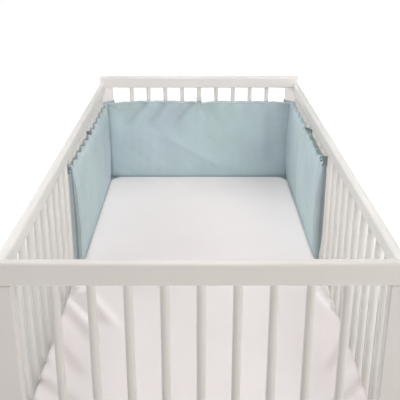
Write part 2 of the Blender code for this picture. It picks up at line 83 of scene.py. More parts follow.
# Places in the part's frame
TOUCH_GAP = 0.0003
RIBBON_THICKNESS = 0.0012
END_RAIL_TOP = 0.860
END_RAIL_SIZE = (0.742, 0.025, 0.042)
END_RAIL_ROUND = 0.0085
END_RAIL_TIP = 0.009
RAIL_LEAST_ROUND = 0.0004
POST_SIZE = (0.045, 0.022)
POST_INNER_X = 0.325
END_Y = 0.715
SLAT_RADIUS = 0.00825
SLAT_EASE = 0.0008
END_SLATS, SIDE_SLATS = 9, 21
END_PITCH, SIDE_PITCH = 0.0636, 0.0645
END_SLAT_SIDES, SIDE_SLAT_SIDES = 32, 24
LOW_RAIL_TOP = 0.270
LOW_RAIL_HEIGHT = 0.040
LOW_ROUND = 0.003
SIDE_RAIL_ROUND = 0.0080
SIDE_RAIL_DROP = 0.025
SIDE_RAIL_SIZE = (0.020, 0.033)
SIDE_X = 0.362
MATTRESS_TOP = 0.475
MATTRESS_THICKNESS = 0.100
MATTRESS_HALF_WIDTH = 0.3445
MATTRESS_HEAD_Y = 0.683
MATTRESS_FOOT_Y = -0.697
MATTRESS_CORNER = 0.050
MATTRESS_EDGE = 0.022
BASE_THICKNESS = 0.030
BASE_HALF_WIDTH = 0.345
BASE_BEARER = 0.035
BASE_ROUND = 0.002
BASE_SLATS = 11
BASE_SLAT_SIZE = (0.070, 0.014)

# The fitted sheet
SHEET_GRID = (88, 176)
SHEET_EDGE_STEPS, SHEET_SIDE_STEPS = 6, 8
SHEET_DOME, SHEET_DOME_RUN, SHEET_SINK = 0.0012, 0.10, 0.0006
SHEET_WAVE, SHEET_WAVE_SIZE, SHEET_WAVE_RUN, SHEET_WAVE_SEED = 0.0009, 0.30, 0.03, 11
CORNER_REACH, CORNER_PULL = 0.16, 0.0008
GATHER_HEIGHT, GATHER_LIMIT, GATHER_START, GATHER_RUN = 0.0009, 0.0004, 0.012, 0.06
GATHER_PITCH, GATHER_SHIFT, GATHER_SHIFT_PITCH = 0.013, 2.0, 0.07
FILL_START, FILL_RUN = 0.012, 0.07
FILL_OUT = ((0.200, 0.0), (0.3225, 0.0165), (0.3445, 0.0080))
SHEET_RELIEF_DEPTH = 0.03
SHEET_TAPER, SHEET_SPREAD = (0.35, 0.65), (1.3, 0.5)
# each crease: start x and y, end x and y, width, rise
SHEET_CREASES = (
    (-0.337, -0.150, -0.352, -0.235, 0.0060, -0.0075),
    (-0.356, -0.158, -0.225, -0.350, 0.0105, -0.0060),
    (-0.350, -0.205, -0.240, -0.370, 0.0090, 0.0045),
    (-0.356, -0.235, -0.230, -0.430, 0.0100, -0.0062),
    (-0.285, -0.190, -0.170, -0.380, 0.0110, 0.0030),
    (-0.310, -0.185, -0.190, -0.380, 0.0110, -0.0026),
    (-0.350, -0.380, -0.230, -0.560, 0.0120, -0.0036),
    (-0.350, -0.530, -0.200, -0.660, 0.0110, -0.0045),
    (0.333, -0.150, 0.351, -0.225, 0.0050, -0.0070),
    (0.338, -0.236, 0.352, -0.300, 0.0050, -0.0070),
    (0.310, -0.190, 0.345, -0.300, 0.0100, 0.0030),
    (0.350, -0.380, 0.260, -0.540, 0.0100, -0.0036),
    (0.350, -0.540, 0.230, -0.660, 0.0100, -0.0045),
)

# The bumper's path and sections
BACK_X = SIDE_X - SLAT_RADIUS
BACK_Y = END_Y - SLAT_RADIUS
BACK_CORNERS = {-1: 0.010, 1: 0.018}
END_YS = {-1: -0.036, 1: 0.024}
PANELS = {-1: "left", 0: "head", 1: "right"}
CHANNEL_THICKNESSES = {-1: 0.0045, 1: 0.008}
# how far the cloth stays low beside the left and the right corner channel
CROWN_RUNS = {"left": (0.075, 0.030), "head": (0.020, 0.115), "right": (0.022, 0.022)}
SLAT_CLEARANCE = RIBBON_THICKNESS + 4 * TOUCH_GAP
POST_CLEARANCE = BACK_Y - (END_Y - POST_SIZE[1] / 2) + SLAT_CLEARANCE
POST_BLEND = (0.285, 0.315)
POST_BLEND_ROUND_CORNER = 2 / 3
HEAD_BLEND = 0.060
SWELL = 0.009
CORNER_FADE, END_FADE = 0.012, 0.010
TUCK_CLEARANCE = 0.0008
TUCK_GAP = 0.0006
TUCK_LEAST = 0.003
TUCK_ROUND, TUCK_ROUND_START, TUCK_BLEND = 0.0022, 0.050, 0.010
LINE_ABOVE_MATTRESS = 0.006
PANEL_TOP_DROP = 0.09
STATION_STEP = 0.0045
END_STEP, CORNER_GAP = 0.002, 0.001
ROW_STEP = 0.0050
CORNER_STEPS = 16
CHANNEL_HALF = 0.0045
CHANNEL_LEVEL_RUN = 0.020
SEAM_DEPTH = 0.0020
SEAM_WIDTH = 0.0014
SEAM_START, END_SEAM_START, TOP_SEAM_SHARE = 0.02, 0.1, 0.5
TOP_SEAM_DROP = 0.0075
TOP_DROPS = (0.0, 0.0010, 0.0026, 0.0045, 0.0060, 0.0075, 0.0090, 0.0110, 0.0140)
TOP_ROUNDING, TOP_THINNEST = 0.0050, 0.35
TOP_SWELL, TOP_SWELL_RUN = 0.3, 0.10
RELIEF_START, LUMP_START, LUMP_END = 0.05, 0.10, 0.06
# each field of lumps: seed, size, share of the height
LUMPS = ((5, 0.13, 1.0), (6, 0.05, 0.35))
SCALLOP, SCALLOP_LEVEL, SCALLOP_SHARES, SCALLOP_RUN = 0.0095, 0.60, (0.8, 0.2), 0.03
RIM_DROP = 0.0026
RIM_START, RIM_END, RIM_END_SHARE = (0.42, 0.10), (0.82, 0.18), 0.75
RIM_INSET = 0.020
# the pleat beside a side slat: start beside the slat, start drop, end beside it, end drop
PUCKER_LINE = (-0.002, -0.002, 0.024, 0.0075)
PUCKER_WIDTH, PUCKER_DEPTH, PUCKER_TAPER, PUCKER_INSET = 0.0036, 0.0042, 0.6, 0.012
PUCKER_BEFORE = 0.3
TUCKED_DEPTHS = (
    *(-0.002, 0.001, 0.003, 0.005, 0.008, 0.012),
    *(0.017, 0.024, 0.036, 0.048, 0.057, 0.060),
)
END_INSETS = (0.0, 0.0006, 0.0015, 0.003, 0.0045, 0.0055, 0.0065, 0.0075, 0.0085, 0.010, 0.012)
END_SEAM_INSET = 0.0065
END_RUN = 0.0035
END_FLAT = 0.80
END_DRAW, END_DRAW_RUN, END_DRAW_DROP = 0.50, 0.045, 0.120
CAP_SHARES = (0.08, 0.2, 0.38, 0.55, 0.66, 0.74, 0.80, 0.87, 0.94)
CAP_GROOVE, CAP_GROOVE_DEPTH, CAP_GROOVE_WIDTH = 0.74, 0.0016, 0.05
CAP_PUFF = 0.0022

Station = namedtuple("Station", "panel along x y nx ny clear swell deep inset")
# thickness of the panels at places from the top edge (0) down to the line on the mattress (1)
ROWS_ABOVE = table(
    "place side head swell follow",
    (0.000, 0.0050, 0.0050, 0.7, 1.00),
    (0.015, 0.0085, 0.0090, 0.7, 0.90),
    (0.050, 0.0115, 0.0130, 0.8, 0.55),
    (0.120, 0.0135, 0.0165, 0.9, 0.25),
    (0.240, 0.0155, 0.0195, 1.0, 0.10),
    (0.390, 0.0170, 0.0215, 1.0, 0.00),
    (0.550, 0.0185, 0.0225, 1.0, 0.00),
    (0.710, 0.0190, 0.0225, 1.0, 0.00),
    (0.860, 0.0180, 0.0220, 0.9, 0.00),
    (0.940, 0.0160, 0.0210, 0.7, 0.00),
    (1.000, 0.0130, 0.0195, 0.4, 0.00),
)
# Top edges: (place along the panel, drop below the end rail's top)
TOPS = {
    "left": (
        *((-0.036, 0.0775), (0.018, 0.0812), (0.094, 0.0826), (0.177, 0.0858)),
        *((0.268, 0.0892), (0.380, 0.0925), (0.600, 0.0935), (0.690, 0.0985)),
    ),
    "head": (
        *((-0.340, 0.0990), (-0.300, 0.0968), (-0.185, 0.0916), (-0.110, 0.0920)),
        *((-0.020, 0.0945), (0.000, 0.0945), (0.016, 0.0992), (0.048, 0.0938)),
        *((0.120, 0.0931), (0.340, 0.0955)),
    ),
    "right": (
        *((0.024, 0.0800), (0.056, 0.0850), (0.124, 0.0910), (0.188, 0.0896)),
        *((0.257, 0.0868), (0.314, 0.0866), (0.371, 0.0905), (0.535, 0.0904)),
        *((0.640, 0.0920), (0.690, 0.0955)),
    ),
}
# each crease: start along and drop, end along and drop, width, rise; the solid's own come first
CREASES = {
    "left": ((0.480, 0.060, 0.520, 0.260, 0.024, -0.0020),),
    "head": (
        (-0.205, 0.010, -0.275, 0.085, 0.016, -0.0035),
        (-0.135, 0.015, -0.190, 0.090, 0.016, -0.0030),
        (-0.025, 0.008, -0.085, 0.085, 0.016, -0.0035),
        (0.020, 0.010, 0.085, 0.090, 0.018, -0.0025),
        (-0.120, 0.140, 0.085, 0.245, 0.022, 0.0025),
        (0.260, 0.050, 0.265, 0.220, 0.018, -0.0030),
        # finer ones beside the corners and the ties
        (-0.203, 0.012, -0.262, 0.074, 0.0055, -0.0022),
        (-0.188, 0.016, -0.236, 0.072, 0.0070, 0.0020),
        (-0.132, 0.014, -0.183, 0.078, 0.0055, -0.0022),
        (-0.116, 0.016, -0.160, 0.082, 0.0070, 0.0020),
        (-0.029, 0.010, -0.078, 0.070, 0.0055, -0.0022),
        (-0.014, 0.010, -0.050, 0.074, 0.0070, 0.0016),
        (0.008, 0.008, 0.030, 0.060, 0.0055, -0.0018),
        (-0.332, 0.010, -0.304, 0.032, 0.0045, -0.0020),
        (-0.300, 0.008, -0.318, 0.036, 0.0045, 0.0018),
        (-0.110, 0.146, 0.070, 0.243, 0.0090, 0.0018),
        (0.285, 0.070, 0.330, 0.062, 0.0045, -0.0018),
        (0.280, 0.098, 0.330, 0.090, 0.0045, -0.0018),
        (0.288, 0.126, 0.330, 0.124, 0.0045, -0.0016),
        (0.292, 0.152, 0.330, 0.158, 0.0045, -0.0014),
    ),
    "right": (
        (0.250, 0.060, 0.230, 0.260, 0.020, 0.0025),
        (0.420, 0.080, 0.410, 0.280, 0.020, -0.0025),
        (0.330, 0.080, 0.320, 0.280, 0.012, -0.0010),
        (0.150, 0.050, 0.140, 0.250, 0.014, -0.0010),
    ),
}

# Ties
TAIL_DROP = 0.048
TAIL_SPREAD = 0.013
POST_TAIL_SPREAD = 0.0013
TAIL_START = 0.002
TAIL_WIDTH = 0.008
TAIL_TWIST, TAIL_TWIST_REACH = 0.55, 0.9
TAIL_STEPS = 19
POST_RING_RISE = -0.0015
POST_RING_TILT = 0.004
POST_RING_STEPS = 5
RIBBON_WIDTH = 0.010
RIBBON_PITCH = 0.8
RING_STEPS, RING_WAVE, RING_WAVE_SHIFT, RING_COVER = 48, 0.0006, 2.1, 0.97
KNOT_HALF = (0.0022, 0.0065, 0.0060)
KNOT_FOLD, KNOT_PULL, KNOT_STEPS = 0.16, 0.10, (24, 16)
# half of a ribbon's outline in shares of its half width and half thickness
RIBBON_OUTLINE = ((1.0, 0.35), (0.86, 1.0), (0.0, 0.8), (-0.86, 1.0), (-1.0, 0.35))
TAIL_LINE = table(
    "outward spread drop",
    (0.0002, 0.0, 0.00),
    (0.0012, 0.2, 0.35),
    (0.0004, 0.5, 0.70),
    (0.0014, 1.0, 1.00),
)
# each tie on a slat: name, side (0 is the head), slat, width of its turns, rise
SLAT_TIES = (
    ("tie_left_end", -1, 0, 0.018, -0.0145),
    ("tie_left_middle", -1, 5, 0.010, -0.0060),
    ("tie_head_middle", 0, 0, 0.010, 0.0020),
    ("tie_right_middle", 1, 5, 0.010, -0.0020),
    ("tie_right_end", 1, 1, 0.016, -0.0060),
)
POST_TIES = (("tie_left_corner", -1), ("tie_right_corner", 1))
LOOSE_END = table(
    "way sideways lift",
    *((0.000, 0.0000, 0.0000), (0.020, 0.0004, 0.0006), (0.050, -0.0010, 0.0020)),
    *((0.085, -0.0016, 0.0004), (0.120, -0.0004, 0.0014), (0.155, 0.0002, 0.0004)),
    *((0.190, -0.0014, 0.0016), (0.225, -0.0008, 0.0006), (0.246, -0.0018, 0.0004)),
)
LOOSE_STEPS = 61
LOOSE_X = 0.3490
LOOSE_LIFT = 0.0026
# two strands in the dark ribbon: a loose tie end that also stands for painted shadow lines beside
# the top edge
LOOSE_STRANDS = (-0.0038, 0.0034)
STRAND_WIDTH = 0.0030
STRAND_WIDE = (0.45, 0.0, 0.893)
# each bow: x, y and rise above the top edge; size of its knot, loops, ends and ribbon
BOWS = {
    "tie_head_middle": ((0.0, 0.7015, 0.0100), (1.1, 0.45, 0.60), (0.0075, 0.006), 0.007, 0.005),
    "tie_left_end": ((-0.3595, -0.0420, -0.0080), (2.0, 0.75, 1.30), (0.008, 0.006), 0.014, 0.006),
    "tie_left_middle": ((-0.3548, 0.305, -0.0012), (2.3, 0.60, 0.75), (0.007, 0.005), 0.006, 0.005),
    "tie_right_middle": ((0.3500, 0.3225, 0.0030), (1.4, 0.45, 0.55), (0.006, 0.005), 0.005, 0.004),
    "tie_right_end": ((0.3500, 0.0180, -0.0010), (2.0, 0.60, 0.90), (0.012, 0.011), 0.018, 0.006),
}
BOW_WIDE, BOW_END_WIDE = (0.0, 0.80, 0.60), (0.96, 0.28, 0.0)
BOW_LOOP_STEPS, BOW_END_STEPS = 20, 13
BOW_GAP, BOW_LOOP_PINCH, BOW_LOOP_CLIMB = 0.001, 1.3, 0.25
BOW_LOOP_Y, BOW_LOOP_CURL = -0.002, 0.0004
BOW_END_Y, BOW_END_CURL, BOW_END_SPREAD = -0.0035, 0.001, 0.006

# Painted shade on the cloth: a mask darkens it in puckers, seams and creases, in the corners, at
# the free ends, along the line on the mattress and behind the slats
PAINTED_SHADE_MASK = "painted_shade_depth"
PAINTED_SHADE_TINT = (0.36, 0.335, 0.325)
SEAM_TONE, TOP_SEAM_TONE = 0.35, 0.22
# painted shade across each free end's face, from its back to its front
CAP_TONES = {
    -1: ((0.0, 0.50), (0.2, 0.85), (0.38, 0.82), (0.66, 0.40), (0.87, 0.20), (0.94, 1.0)),
    1: ((0.0, 0.88), (0.2, 0.66), (0.42, 0.38), (0.74, 0.18), (1.0, 0.06)),
}
# painted shade on the back, the front and the seam beside each free end
END_BACK_TONES = {-1: 0.26, 1: 0.90}
END_FRONT_TONES = {-1: 0.06, 1: 0.12}
END_SEAM_TONES = {-1: 0.95, 1: 0.35}
END_SEAM_SPREAD = 1.3
END_TONE_RUN = 0.024
END_BACK_RUN = 0.045
# painted shadow along the side rims where they come in to the next slat
RIM_TONES = ((-0.10, 1.0), (0.25, 0.95), (0.45, 0.70), (0.70, 0.60))
RIM_SHARES = {-1: 1.0, 1: 0.75}
# painted shade in the creases
CREASE_TONE, CREASE_FULL, CREASE_LIMITS = 0.12, 0.0035, (-0.5, 1.5)
# painted shade along the head panel's top and in the corners by the channels
HEAD_TOP_TONE = 0.17
HEAD_TOP_RUN = 0.034
CORNER_TONES = {-1: 0.10, 1: 0.17}
CORNER_RUNS = {-1: 0.07, 1: 0.12}
CORNER_LOW_SHARE, LOWER_START, LOWER_RUN = 0.35, 0.35, 0.55
SIDE_CORNER_TONES = {-1: 0.16, 1: 0.0}
SIDE_CORNER_RUN = 0.22
# painted contact shadow along the line on the mattress
FOOT_LINE_TONE = 0.40
FOOT_LINE_LEVEL = -0.004
FOOT_LINE_RUN = 0.005
# painted shadow on the back beside the side slats and on the head panel's back
SLAT_SHADE_WIDTH, SLAT_SHADE_DROP, HEAD_BACK_TONE = 0.010, 0.02, 0.3
FRONT_LIMITS = (-0.1, 1.0)
# Painted shade on the fitted sheet: darker in its creases and over most of its length, most towards
# the foot, where the foot rail shades it; more beside the sides near the foot, less beside them
# towards the head
SHEET_SHADE_TINT = (0.72, 0.705, 0.695)
SHEET_FOLD_DEPTH = 0.0040
SHEET_TONES = ((-0.40, 0.30), (-0.15, 0.27), (0.13, 0.25), (0.45, 0.08), (0.62, 0.0))
SHEET_SIDE_SHARES = ((-0.20, 0.95), (0.12, -0.60))
SHEET_SIDE_START, SHEET_SIDE_RUN = 0.12, 0.16
# Painted light on the one paint of the cot: a touch darker at the foot, lighter and a little bluer
# on the sides, lighter still at the head
PAINTED_LIGHT_SHARES = {
    "foot": (0.925, 0.925, 0.92),
    "sides": (1.02, 1.05, 1.055),
    "head": (1.11, 1.115, 1.125),
}

# Weave, knit, paint and wood; each noise: scale, detail and, where it isn't 0.5, roughness
VALUE, TINT = "NodeSocketFloat", "NodeSocketColor"
FLAT_CLOTH = 0.75
CLOUD_RANGE = (0.3, 0.7)
COTTON_DRIFT = ((0.98, 1.01, 0.975), (1.01, 0.995, 1.02))
CHECK_SHARE, THREAD_SHARE, THREAD_SHADE = 0.5, -0.35, 0.035
SLUB_STRETCH, SLUB_NOISE, SLUB_SHADE = (30.0, 30.0, 260.0), (3.0, 3.0, 0.6), 0.10
COTTON_CLOUDS, TINT_NOISE, TINT_RANGE = (7.0, 3.0, 0.55), (4.0, 2.0), (0.35, 0.65)
LOOPS_PER_RIB, LOOP_SHARE, RIB_SHADE, SHEET_CLOUDS = 1.6, 0.35, 0.006, (5.0, 3.0)
BRUSH_LONG, BRUSH_FINE, BRUSH_NOISE = 12.0, 320.0, (1.0, 2.0)
PAINT_CLOUDS, PAINT_SHADE, PAINT_GLOSS = (6.0, 2.0), 0.012, (1.2, 1.8, 0.34, 0.46)
SPECK_NOISE, SPECK_LEVEL = (420.0, 1.0), 0.74
WOOD_STRETCH, WOOD_BEND, WOOD_RINGS = (1.2, 14.0, 14.0), (2.0, 3.0), 46.0
WOOD_PORES, RING_RANGE, PORE_RANGE = (60.0, 2.0), (-0.4, 1.0), (0.3, 0.8, 0.6, 1.0)
WOOD_DARK = 0.74

# The painted shadow on the floor near the cot
FLOOR_REACH = 30.0
FLOOR_CLOUDS, FLOOR_SHADES = (1.5, 2.0), (0.995, 1.005)
SHADE_REACH = (0.30, 0.92)
NEAR_GLOW = 0.04
NEAR_SHADE = 0.79

# Camera and lights
CAMERA_PLACE = (-0.0069, -1.7113, 1.4020)
CAMERA_PITCH = 19.84
CAMERA_YAW = 0.25
CAMERA_ROLL = 0.07
CAMERA_LENS = 59.29
CAMERA_SENSOR = 36.0
CAMERA_SHIFT = -0.10
CAMERA_CLIP = (0.05, 100.0)
WHITE = (1.0, 1.0, 1.0)
WARM = (1.0, 0.955, 0.905)
LAMPS = table(
    "name place aim size power colour",
    ("top_left_softbox", (-1.5, 0.2, 3.2), (0.0, 0.0, 0.4), 1.2, 8.1, WHITE),
    ("top_right_softbox", (1.5, 0.2, 3.2), (0.0, 0.0, 0.4), 1.2, 13.2, WHITE),
    ("top_back_softbox", (0.0, 1.6, 3.4), (0.0, 0.2, 0.4), 1.6, 17.0, WHITE),
    ("top_front_softbox", (0.0, -0.7, 2.4), (0.0, 0.6, 0.8), 0.8, 19.8, WHITE),
    ("right_front_softbox", (1.8, -3.2, 2.8), (0.0, 0.0, 0.5), 1.4, 24.5, WARM),
    ("right_low_softbox", (3.2, -2.4, 0.9), (0.0, -0.5, 0.6), 1.4, 22.4, WARM),
    ("right_softbox", (3.0, 0.0, 2.6), (0.0, 0.0, 0.5), 1.6, 6.3, WHITE),
    ("left_back_softbox", (-2.6, 2.4, 2.6), (0.0, 0.0, 0.5), 1.6, 55.6, WHITE),
)
COLOUR = {"subtype": "COLOR", "size": 3, "min": 0.0, "max": 1.0}


class BumperLooks(bpy.types.PropertyGroup):
    """Sizes and colours of the bumper and its ties."""

    cloth_colour: FloatVectorProperty(
        name="Cloth colour",
        description="Colour of the bumper's cotton",
        default=(0.580, 0.694, 0.735),
        **COLOUR,
    )
    # the ties' ribbon, made dark as painted shade
    slat_tie_shaded_colour: FloatVectorProperty(
        name="Tie colour",
        description="Colour of the ribbon ties on the slats",
        default=(0.22, 0.27, 0.265),
        **COLOUR,
    )
    # the same ribbon, made pale as painted light
    head_tie_lit_colour: FloatVectorProperty(
        name="Head tie colour",
        description="Colour of the ribbon tie at the middle of the head",
        default=(0.84, 0.865, 0.875),
        **COLOUR,
    )
    # the same ribbon, made lighter as painted light
    post_band_lit_colour: FloatVectorProperty(
        name="Band colour",
        description="Colour of the bands round the two head posts",
        default=(0.47, 0.565, 0.60),
        **COLOUR,
    )
    thread_pitch: FloatProperty(
        name="Thread pitch",
        description="Distance between two threads of the cotton",
        unit="LENGTH",
        min=0.0003,
        max=0.003,
        default=0.0009,
    )
    lumpiness: FloatProperty(
        name="Lumpiness",
        description="Height of the soft lumps of the wadding",
        unit="LENGTH",
        min=0.0,
        max=0.004,
        default=0.0011,
    )


class MattressLooks(bpy.types.PropertyGroup):
    """Sizes and colours of the mattress in its fitted sheet."""

    sheet_colour: FloatVectorProperty(
        name="Sheet colour",
        description="Colour of the fitted sheet",
        default=(0.925, 0.873, 0.870),
        **COLOUR,
    )
    rib_pitch: FloatProperty(
        name="Rib pitch",
        description="Distance between two ribs of the knitted sheet",
        unit="LENGTH",
        min=0.0005,
        max=0.01,
        default=0.0014,
    )


class CotLooks(bpy.types.PropertyGroup):
    """Colours of the cot bed."""

    paint_colour: FloatVectorProperty(
        name="Paint colour",
        description="Colour of the satin paint on the posts, rails and slats",
        default=(0.803, 0.763, 0.730),
        **COLOUR,
    )
    base_colour: FloatVectorProperty(
        name="Base wood colour",
        description="Colour of the bare wood of the mattress base",
        default=(0.62, 0.46, 0.30),
        **COLOUR,
    )


class StageLooks(bpy.types.PropertyGroup):
    """Floor and light of the stage."""

    floor_colour: FloatVectorProperty(
        name="Floor colour",
        description="Colour of the plain floor",
        default=(0.92, 0.92, 0.92),
        **COLOUR,
    )
    floor_glow: FloatProperty(
        name="Floor glow",
        description="Light of the floor's own, as of a sweep lit from behind",
        min=0.0,
        max=2.0,
        default=1.0,
    )
    wall_shade: FloatProperty(
        name="Wall shade",
        description="How bright the plain wall behind the cot looks",
        min=0.0,
        max=1.0,
        default=0.90,
    )
    wall_light: FloatProperty(
        name="Wall light",
        description="Strength of the light that the walls and the ceiling give back",
        min=0.0,
        max=4.0,
        default=0.0,
    )


# ---- node helpers


def new_group(name, inputs, **outputs):
    """(wires, given sockets, made sockets) of a new shader node group.

    Each input is (name, default, least, most), each output a kind of socket.
    """
    group = bpy.data.node_groups.new(name, "ShaderNodeTree")
    for label, value, least, most in inputs:
        kind = TINT if isinstance(value, tuple) else VALUE
        made = group.interface.new_socket(name=label, in_out="INPUT", socket_type=kind)
        made.default_value = value
        if kind == VALUE:
            made.min_value, made.max_value = least, most
    for label, kind in outputs.items():
        group.interface.new_socket(name=label, in_out="OUTPUT", socket_type=kind)
    given, made = (group.nodes.new(kind) for kind in ("NodeGroupInput", "NodeGroupOutput"))
    return Wires(group), given.outputs, made.inputs


class Wires:
    """Adds nodes to a tree and links them with short calls."""

    def __init__(self, tree):
        self.tree = tree

    def feed(self, socket, value):
        if isinstance(value, bpy.types.NodeSocket):
            self.tree.links.new(value, socket)
        else:
            socket.default_value = value

    def node(self, kind, inputs=(), **settings):
        """The outputs of a new node; its inputs are given by name or number."""
        made = self.tree.nodes.new(kind)
        for key, value in settings.items():
            setattr(made, key, value)
        for key, value in dict(inputs).items():
            self.feed(made.inputs[key], value)
        return made.outputs

    def math(self, operation, *values, clamp=False):
        values = enumerate(values)
        return self.node("ShaderNodeMath", values, operation=operation, use_clamp=clamp)[0]

    def add(self, a, b):
        return self.math("ADD", a, b)

    def less(self, a, b):
        return self.math("SUBTRACT", a, b)

    def times(self, a, b):
        return self.math("MULTIPLY", a, b)

    def sine(self, a):
        return self.math("SINE", a)

    def size(self, a):
        return self.math("ABSOLUTE", a)

    def above(self, a, b):
        return self.math("GREATER_THAN", a, b)

    def place(self):
        return self.node("ShaderNodeTexCoord")["Object"]

    def split(self, vector):
        return self.node("ShaderNodeSeparateXYZ", {0: vector})

    def stretched(self, vector, scale):
        return self.node("ShaderNodeMapping", {"Vector": vector, "Scale": scale})[0]

    def noise(self, vector, scale, detail, roughness=0.5):
        inputs = {"Vector": vector, "Scale": scale, "Detail": detail, "Roughness": roughness}
        return self.node("ShaderNodeTexNoise", inputs, noise_dimensions="3D")["Fac"]

    def spread(self, value, low, high, to_low=0.0, to_high=1.0):
        inputs = enumerate((value, low, high, to_low, to_high))
        return self.node("ShaderNodeMapRange", inputs, clamp=True)["Result"]

    def clouds(self, place, scale, detail, roughness=0.5):
        return self.spread(self.noise(place, scale, detail, roughness), *CLOUD_RANGE, -1.0, 1.0)

    def blend(self, share, a, b):
        inputs = {"Factor": share, 6: a, 7: b}
        return self.node("ShaderNodeMix", inputs, data_type="RGBA", blend_type="MIX")[2]

    def shaded(self, shade, colour):
        inputs = {0: colour, "Scale": shade}
        return self.node("ShaderNodeVectorMath", inputs, operation="SCALE")[0]

    def bump(self, height, distance, strength):
        inputs = {"Distance": distance, "Strength": strength, "Height": height}
        return self.node("ShaderNodeBump", inputs)["Normal"]

    def group(self, name, build, **values):
        tree = bpy.data.node_groups.get(name) or build(name)
        return self.node("ShaderNodeGroup", values, node_tree=tree)


def cloth_lines(w):
    """(place, along, up): the way along a panel, by where the cloth faces, and the height."""
    place = w.place()
    at = w.split(place)
    facing = w.split(w.node("ShaderNodeNewGeometry")["True Normal"])
    faces_x = w.above(w.size(facing["X"]), w.size(facing["Y"]))
    along = w.add(w.times(at["Y"], faces_x), w.times(at["X"], w.less(1.0, faces_x)))
    flat = w.above(w.size(facing["Z"]), FLAT_CLOTH)
    up = w.add(w.times(at["Z"], w.less(1.0, flat)), w.times(at["Y"], flat))
    level = w.times(at["X"], flat)
    return place, w.add(w.times(along, w.less(1.0, flat)), level), up


def weave_group(name):
    """Plain weave: threads over and under each other, with slubs and a soft mottle."""
    w, given, made = new_group(
        name,
        (("Pitch", 0.0009, 0.0001, 0.01), ("Slub", 0.5, 0.0, 1.0), ("Mottle", 0.06, 0.0, 1.0)),
        Height=VALUE,
        Shade=VALUE,
        Tint=VALUE,
    )
    place, along, up = cloth_lines(w)
    turn = w.math("DIVIDE", math.pi, given["Pitch"])
    a, b = w.times(along, turn), w.times(up, turn)
    checks = w.times(w.sine(a), w.sine(b))
    ribs = w.add(*(w.size(w.math("COSINE", part)) for part in (a, b)))
    threads = w.add(w.times(checks, CHECK_SHARE), w.times(ribs, THREAD_SHARE))
    slubs = w.noise(w.stretched(place, SLUB_STRETCH), *SLUB_NOISE)
    height = w.add(threads, w.times(slubs, given["Slub"]))
    mottle = w.times(w.clouds(place, *COTTON_CLOUDS), given["Mottle"])
    shade = w.add(1.0, w.add(mottle, w.times(w.less(slubs, 0.5), SLUB_SHADE)))
    w.feed(made["Height"], height)
    w.feed(made["Shade"], w.add(shade, w.times(threads, THREAD_SHADE)))
    w.feed(made["Tint"], w.spread(w.noise(place, *TINT_NOISE), *TINT_RANGE))
    return w.tree


def knit_group(name):
    """Fine knit: narrow ribs one way and small loops along them."""
    sockets = (("Pitch", 0.0014, 0.0002, 0.02), ("Mottle", 0.02, 0.0, 1.0))
    w, given, made = new_group(name, sockets, Height=VALUE, Shade=VALUE)
    place, along, up = cloth_lines(w)
    turn = w.math("DIVIDE", math.tau, given["Pitch"])
    ribs = w.sine(w.times(along, turn))
    loops = w.sine(w.times(up, w.times(turn, LOOPS_PER_RIB)))
    w.feed(made["Height"], w.add(ribs, w.times(loops, LOOP_SHARE)))
    shade = w.add(1.0, w.times(w.clouds(place, *SHEET_CLOUDS), given["Mottle"]))
    w.feed(made["Shade"], w.add(shade, w.times(ribs, RIB_SHADE)))
    return w.tree


def paint_group(name):
    """Brushed paint on wood: faint grain and brush lines along the piece and a few specks."""
    sockets = (("Grain", 1.0, 0.0, 4.0), ("Specks", 1.0, 0.0, 4.0))
    w, given, made = new_group(name, sockets, Height=VALUE, Shade=VALUE, Gloss=VALUE)
    place = w.place()
    lines = []
    for axis in range(3):
        scale = [BRUSH_FINE] * 3
        scale[axis] = BRUSH_LONG
        lines.append(w.noise(w.stretched(place, scale), *BRUSH_NOISE))
    grain = w.add(w.add(lines[0], lines[1]), lines[2])
    soft = w.clouds(place, *PAINT_CLOUDS)
    specks = w.times(w.above(w.noise(place, *SPECK_NOISE), SPECK_LEVEL), given["Specks"])
    w.feed(made["Height"], w.add(w.times(grain, given["Grain"]), specks))
    w.feed(made["Shade"], w.add(1.0, w.times(soft, PAINT_SHADE)))
    w.feed(made["Gloss"], w.spread(grain, *PAINT_GLOSS))
    return w.tree


def wood_group(name):
    """Bare softwood: growth rings seen as long bands, with pores."""
    sockets = (("Light", (0.62, 0.46, 0.30, 1.0), 0, 1), ("Dark", (0.48, 0.33, 0.19, 1.0), 0, 1))
    w, given, made = new_group(name, sockets, Colour=TINT, Height=VALUE)
    along = w.stretched(w.place(), WOOD_STRETCH)
    rings = w.sine(w.times(w.noise(along, *WOOD_BEND), WOOD_RINGS))
    pores = w.noise(along, *WOOD_PORES)
    share = w.times(w.spread(rings, *RING_RANGE), w.spread(pores, *PORE_RANGE))
    w.feed(made["Colour"], w.blend(share, given["Light"], given["Dark"]))
    w.feed(made["Height"], pores)
    return w.tree


def start_material(name, **constants):
    """(material, wires, sockets of its shader), with constants on those sockets."""
    made = bpy.data.materials.new(name)
    made.use_nodes = True
    sockets = made.node_tree.nodes["Principled BSDF"].inputs
    for key, value in constants.items():
        sockets[key.replace("_", " ")].default_value = value
    return made, Wires(made.node_tree), sockets


def with_painted_shade(w, colour, plain, tint):
    """A cloth's plain colour, darkened as painted shade where the mesh's mask is high."""
    mask = w.node("ShaderNodeAttribute", attribute_name=PAINTED_SHADE_MASK)["Fac"]
    deeper = (*(part * keep for part, keep in zip(colour, tint)), 1.0)
    return w.blend(w.math("MULTIPLY", mask, 1.0, clamp=True), plain, deeper)


